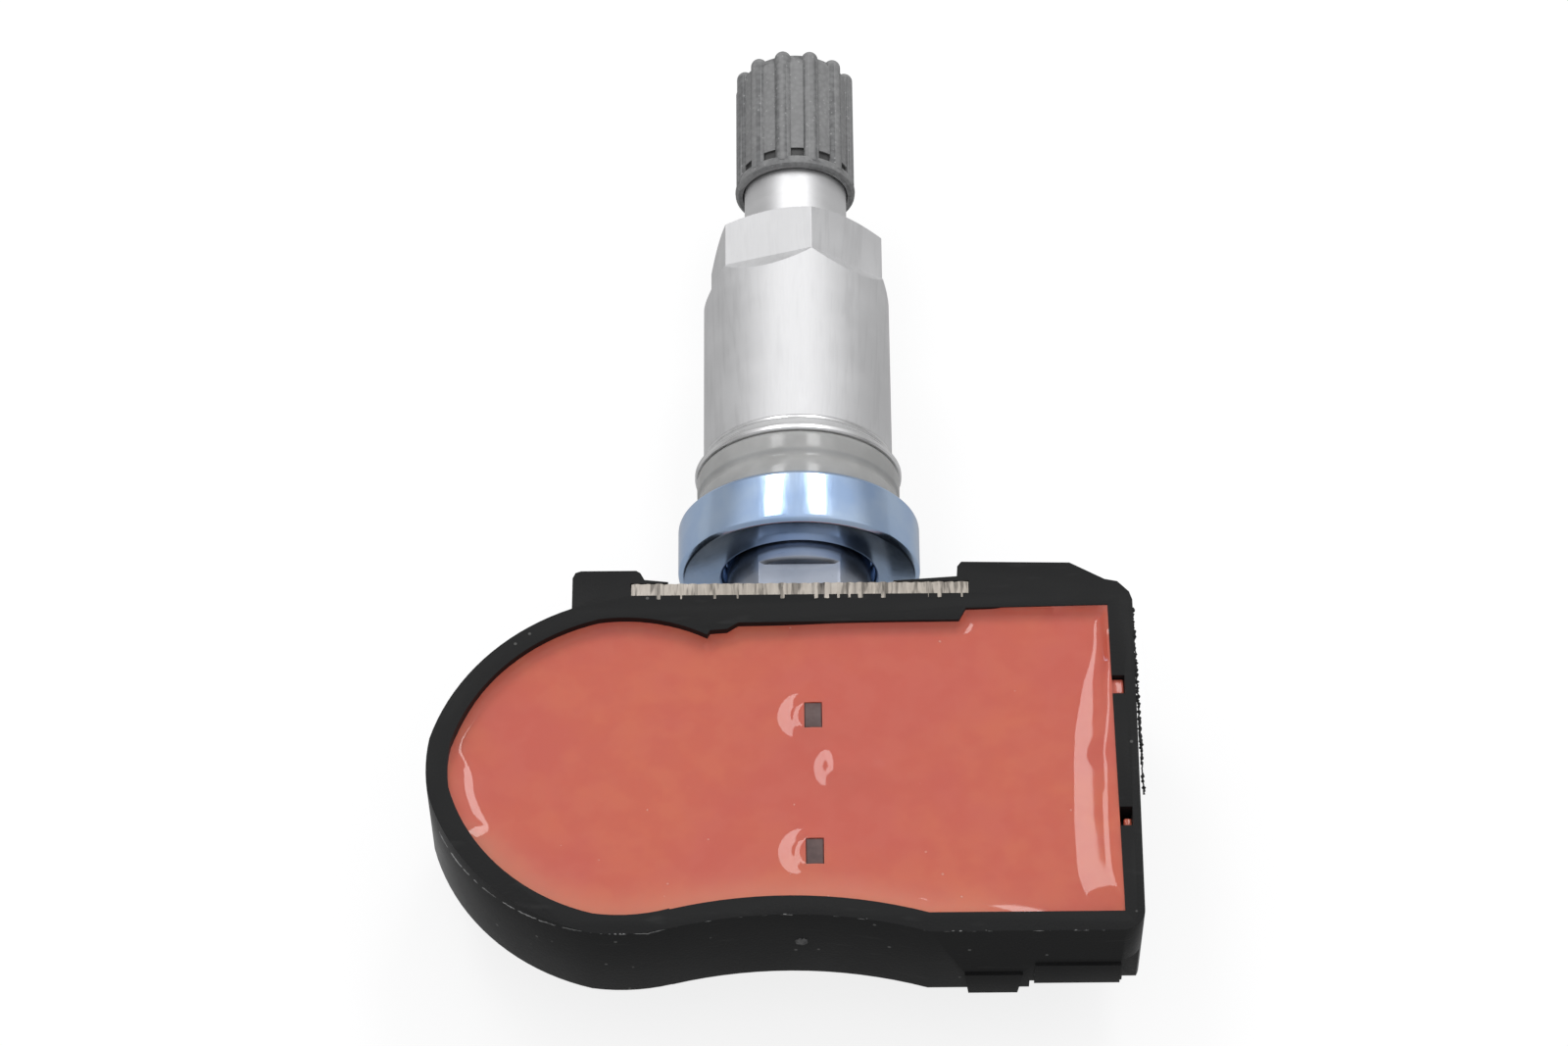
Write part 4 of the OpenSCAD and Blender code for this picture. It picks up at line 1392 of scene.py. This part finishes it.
    def tips(self) -> None:
        """Contact posts with rounded ends."""
        posts = node_copy("contact_posts", Body.SENSOR)
        bevel(posts, width=0.12, segments=3, angle=40)
        name, node = "post_tips", "contact_posts"
        settle(posts, name, Body.SENSOR, Slot.POSTS, self.finishes.tips, node=node, smooth=40)


@dataclass
class Studio:
    """Floor, world, lamps and the camera of the photograph.

    The part's own places are in millimetres, and those of the lamps in metres. A
    strip is its place along x and its width, and the sky is brightness by height.
    """

    floor_z: float = -9.77
    lens: float = 101.25
    sensor: float = 36.0
    elevation: float = 55.0
    roll: float = 0.5
    eye: Spot = (-1.08, -190.03, 266.0)
    sky: tuple[tuple[float, Colour], ...] = (
        (0.35, (0.40, 0.40, 0.40)),
        (0.6, (0.70, 0.70, 0.71)),
        (1.0, (0.80, 0.80, 0.81)),
    )
    paper: Colour = (0.24, 0.24, 0.24)
    paper_light: float = 0.27
    paper_lift: float = 0.54
    strips: tuple[Point, ...] = ((-0.25, 0.17), (0.18, 0.15))
    strip_l: float = 0.42
    strip_y: float = 0.42
    strip_z: float = 0.6
    strip_power: float = 1.12

    def build(self) -> None:
        """Sets up the studio."""
        self.camera()
        self.world()
        self.floor()
        self.lamps()
        bpy.context.scene.view_settings.view_transform = "Standard"

    def camera(self) -> None:
        """Adds the camera from the calibrated view."""
        data = bpy.data.cameras.new("camera")
        data.lens, data.sensor_width = self.lens, self.sensor
        data.clip_start, data.clip_end = 0.01, 20
        cam = bpy.data.objects.new("camera", data)
        e, r = math.radians(self.elevation), math.radians(self.roll)
        right, up = Vector((1, 0, 0)), Vector((0, math.sin(e), math.cos(e)))
        back = Vector((0, -math.cos(e), math.sin(e)))
        right, up = right * math.cos(r) - up * math.sin(r), up * math.cos(r) + right * math.sin(r)
        turn = Matrix((right, up, back)).transposed().to_4x4()
        cam.matrix_world = Matrix.Translation(Vector(self.eye) * MM) @ turn
        bpy.context.scene.collection.objects.link(cam)
        bpy.context.scene.camera = cam

    def world(self) -> None:
        """Adds a soft world that is white to the camera."""
        world = bpy.data.worlds.new("studio")
        world.use_nodes = True
        kit = NodeKit(world.node_tree)
        kit.tree.nodes.clear()
        upward = kit.add("TexCoord").outputs["Generated"]
        ramp = kit.add("ValToRGB", Fac=kit.add("SeparateXYZ", Vector=upward).outputs["Z"])
        marks = ramp.color_ramp.elements
        marks.new(self.sky[1][0])
        for mark, (position, colour) in zip(marks, self.sky):
            mark.position = position
            mark.color = (*colour, 1)
        ray = kit.add("LightPath").outputs
        seen = kit.maths("MAXIMUM", ray["Is Camera Ray"], ray["Is Transmission Ray"])
        light = kit.add("Background", Color=kit.blend(seen, ramp.outputs["Color"], grey(1.0)))
        kit.add("OutputWorld", Surface=light.outputs["Background"])
        bpy.context.scene.world = world

    def floor(self) -> None:
        """Adds a pale floor that keeps the sensor's shadow."""
        clear_selection()
        bpy.ops.mesh.primitive_plane_add(size=8, location=(0, 0, self.floor_z * MM))
        floor = bpy.context.object
        floor.name = "floor"
        paper = Recipe("floor_paper")
        paper.surface(Base_Color=(*self.paper, 1), Roughness=0.9, Specular_IOR_Level=0.0)
        paper.surface(Emission_Color=(1, 1, 1, 1))
        ray = paper.add("LightPath").outputs["Is Camera Ray"]
        settings, light = {"operation": "MULTIPLY_ADD"}, self.paper_light
        lift = paper.add("Math", settings, _0=ray, _1=self.paper_lift, _2=light)
        paper.link(lift.outputs["Value"], "Emission Strength")
        floor.data.materials.append(paper.material)

    def lamps(self) -> None:
        """Adds the two strips overhead, facing down, that the gel and the metal reflect."""
        for i, (x, width) in enumerate(self.strips):
            data = bpy.data.lights.new(f"strip_{i}", "AREA")
            data.shape = "RECTANGLE"
            data.size, data.size_y = width, self.strip_l
            data.energy = self.strip_power
            lamp = bpy.data.objects.new(data.name, data)
            lamp.location = (x, self.strip_y, self.strip_z)
            bpy.context.scene.collection.objects.link(lamp)


def dress_hidden(finishes: Finishes) -> None:
    """Gives the nodes that stay as packed their finish.

    Args:
        finishes: the sensor's finishes.
    """
    for node, finish in finishes.hidden().items():
        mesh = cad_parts[node].data
        mesh.materials.clear()
        mesh.materials.append(finish)
        log.info("%s: %s", node, finish.name)


def main() -> None:
    """Builds the looks of the sensor and its studio."""
    logging.basicConfig(level=logging.INFO, format="%(message)s")
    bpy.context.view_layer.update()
    finishes = Finishes()
    dress_hidden(finishes)
    Valve(finishes).build()
    Housing(finishes).build()
    Studio().build()


if __name__ == "__main__":
    main()
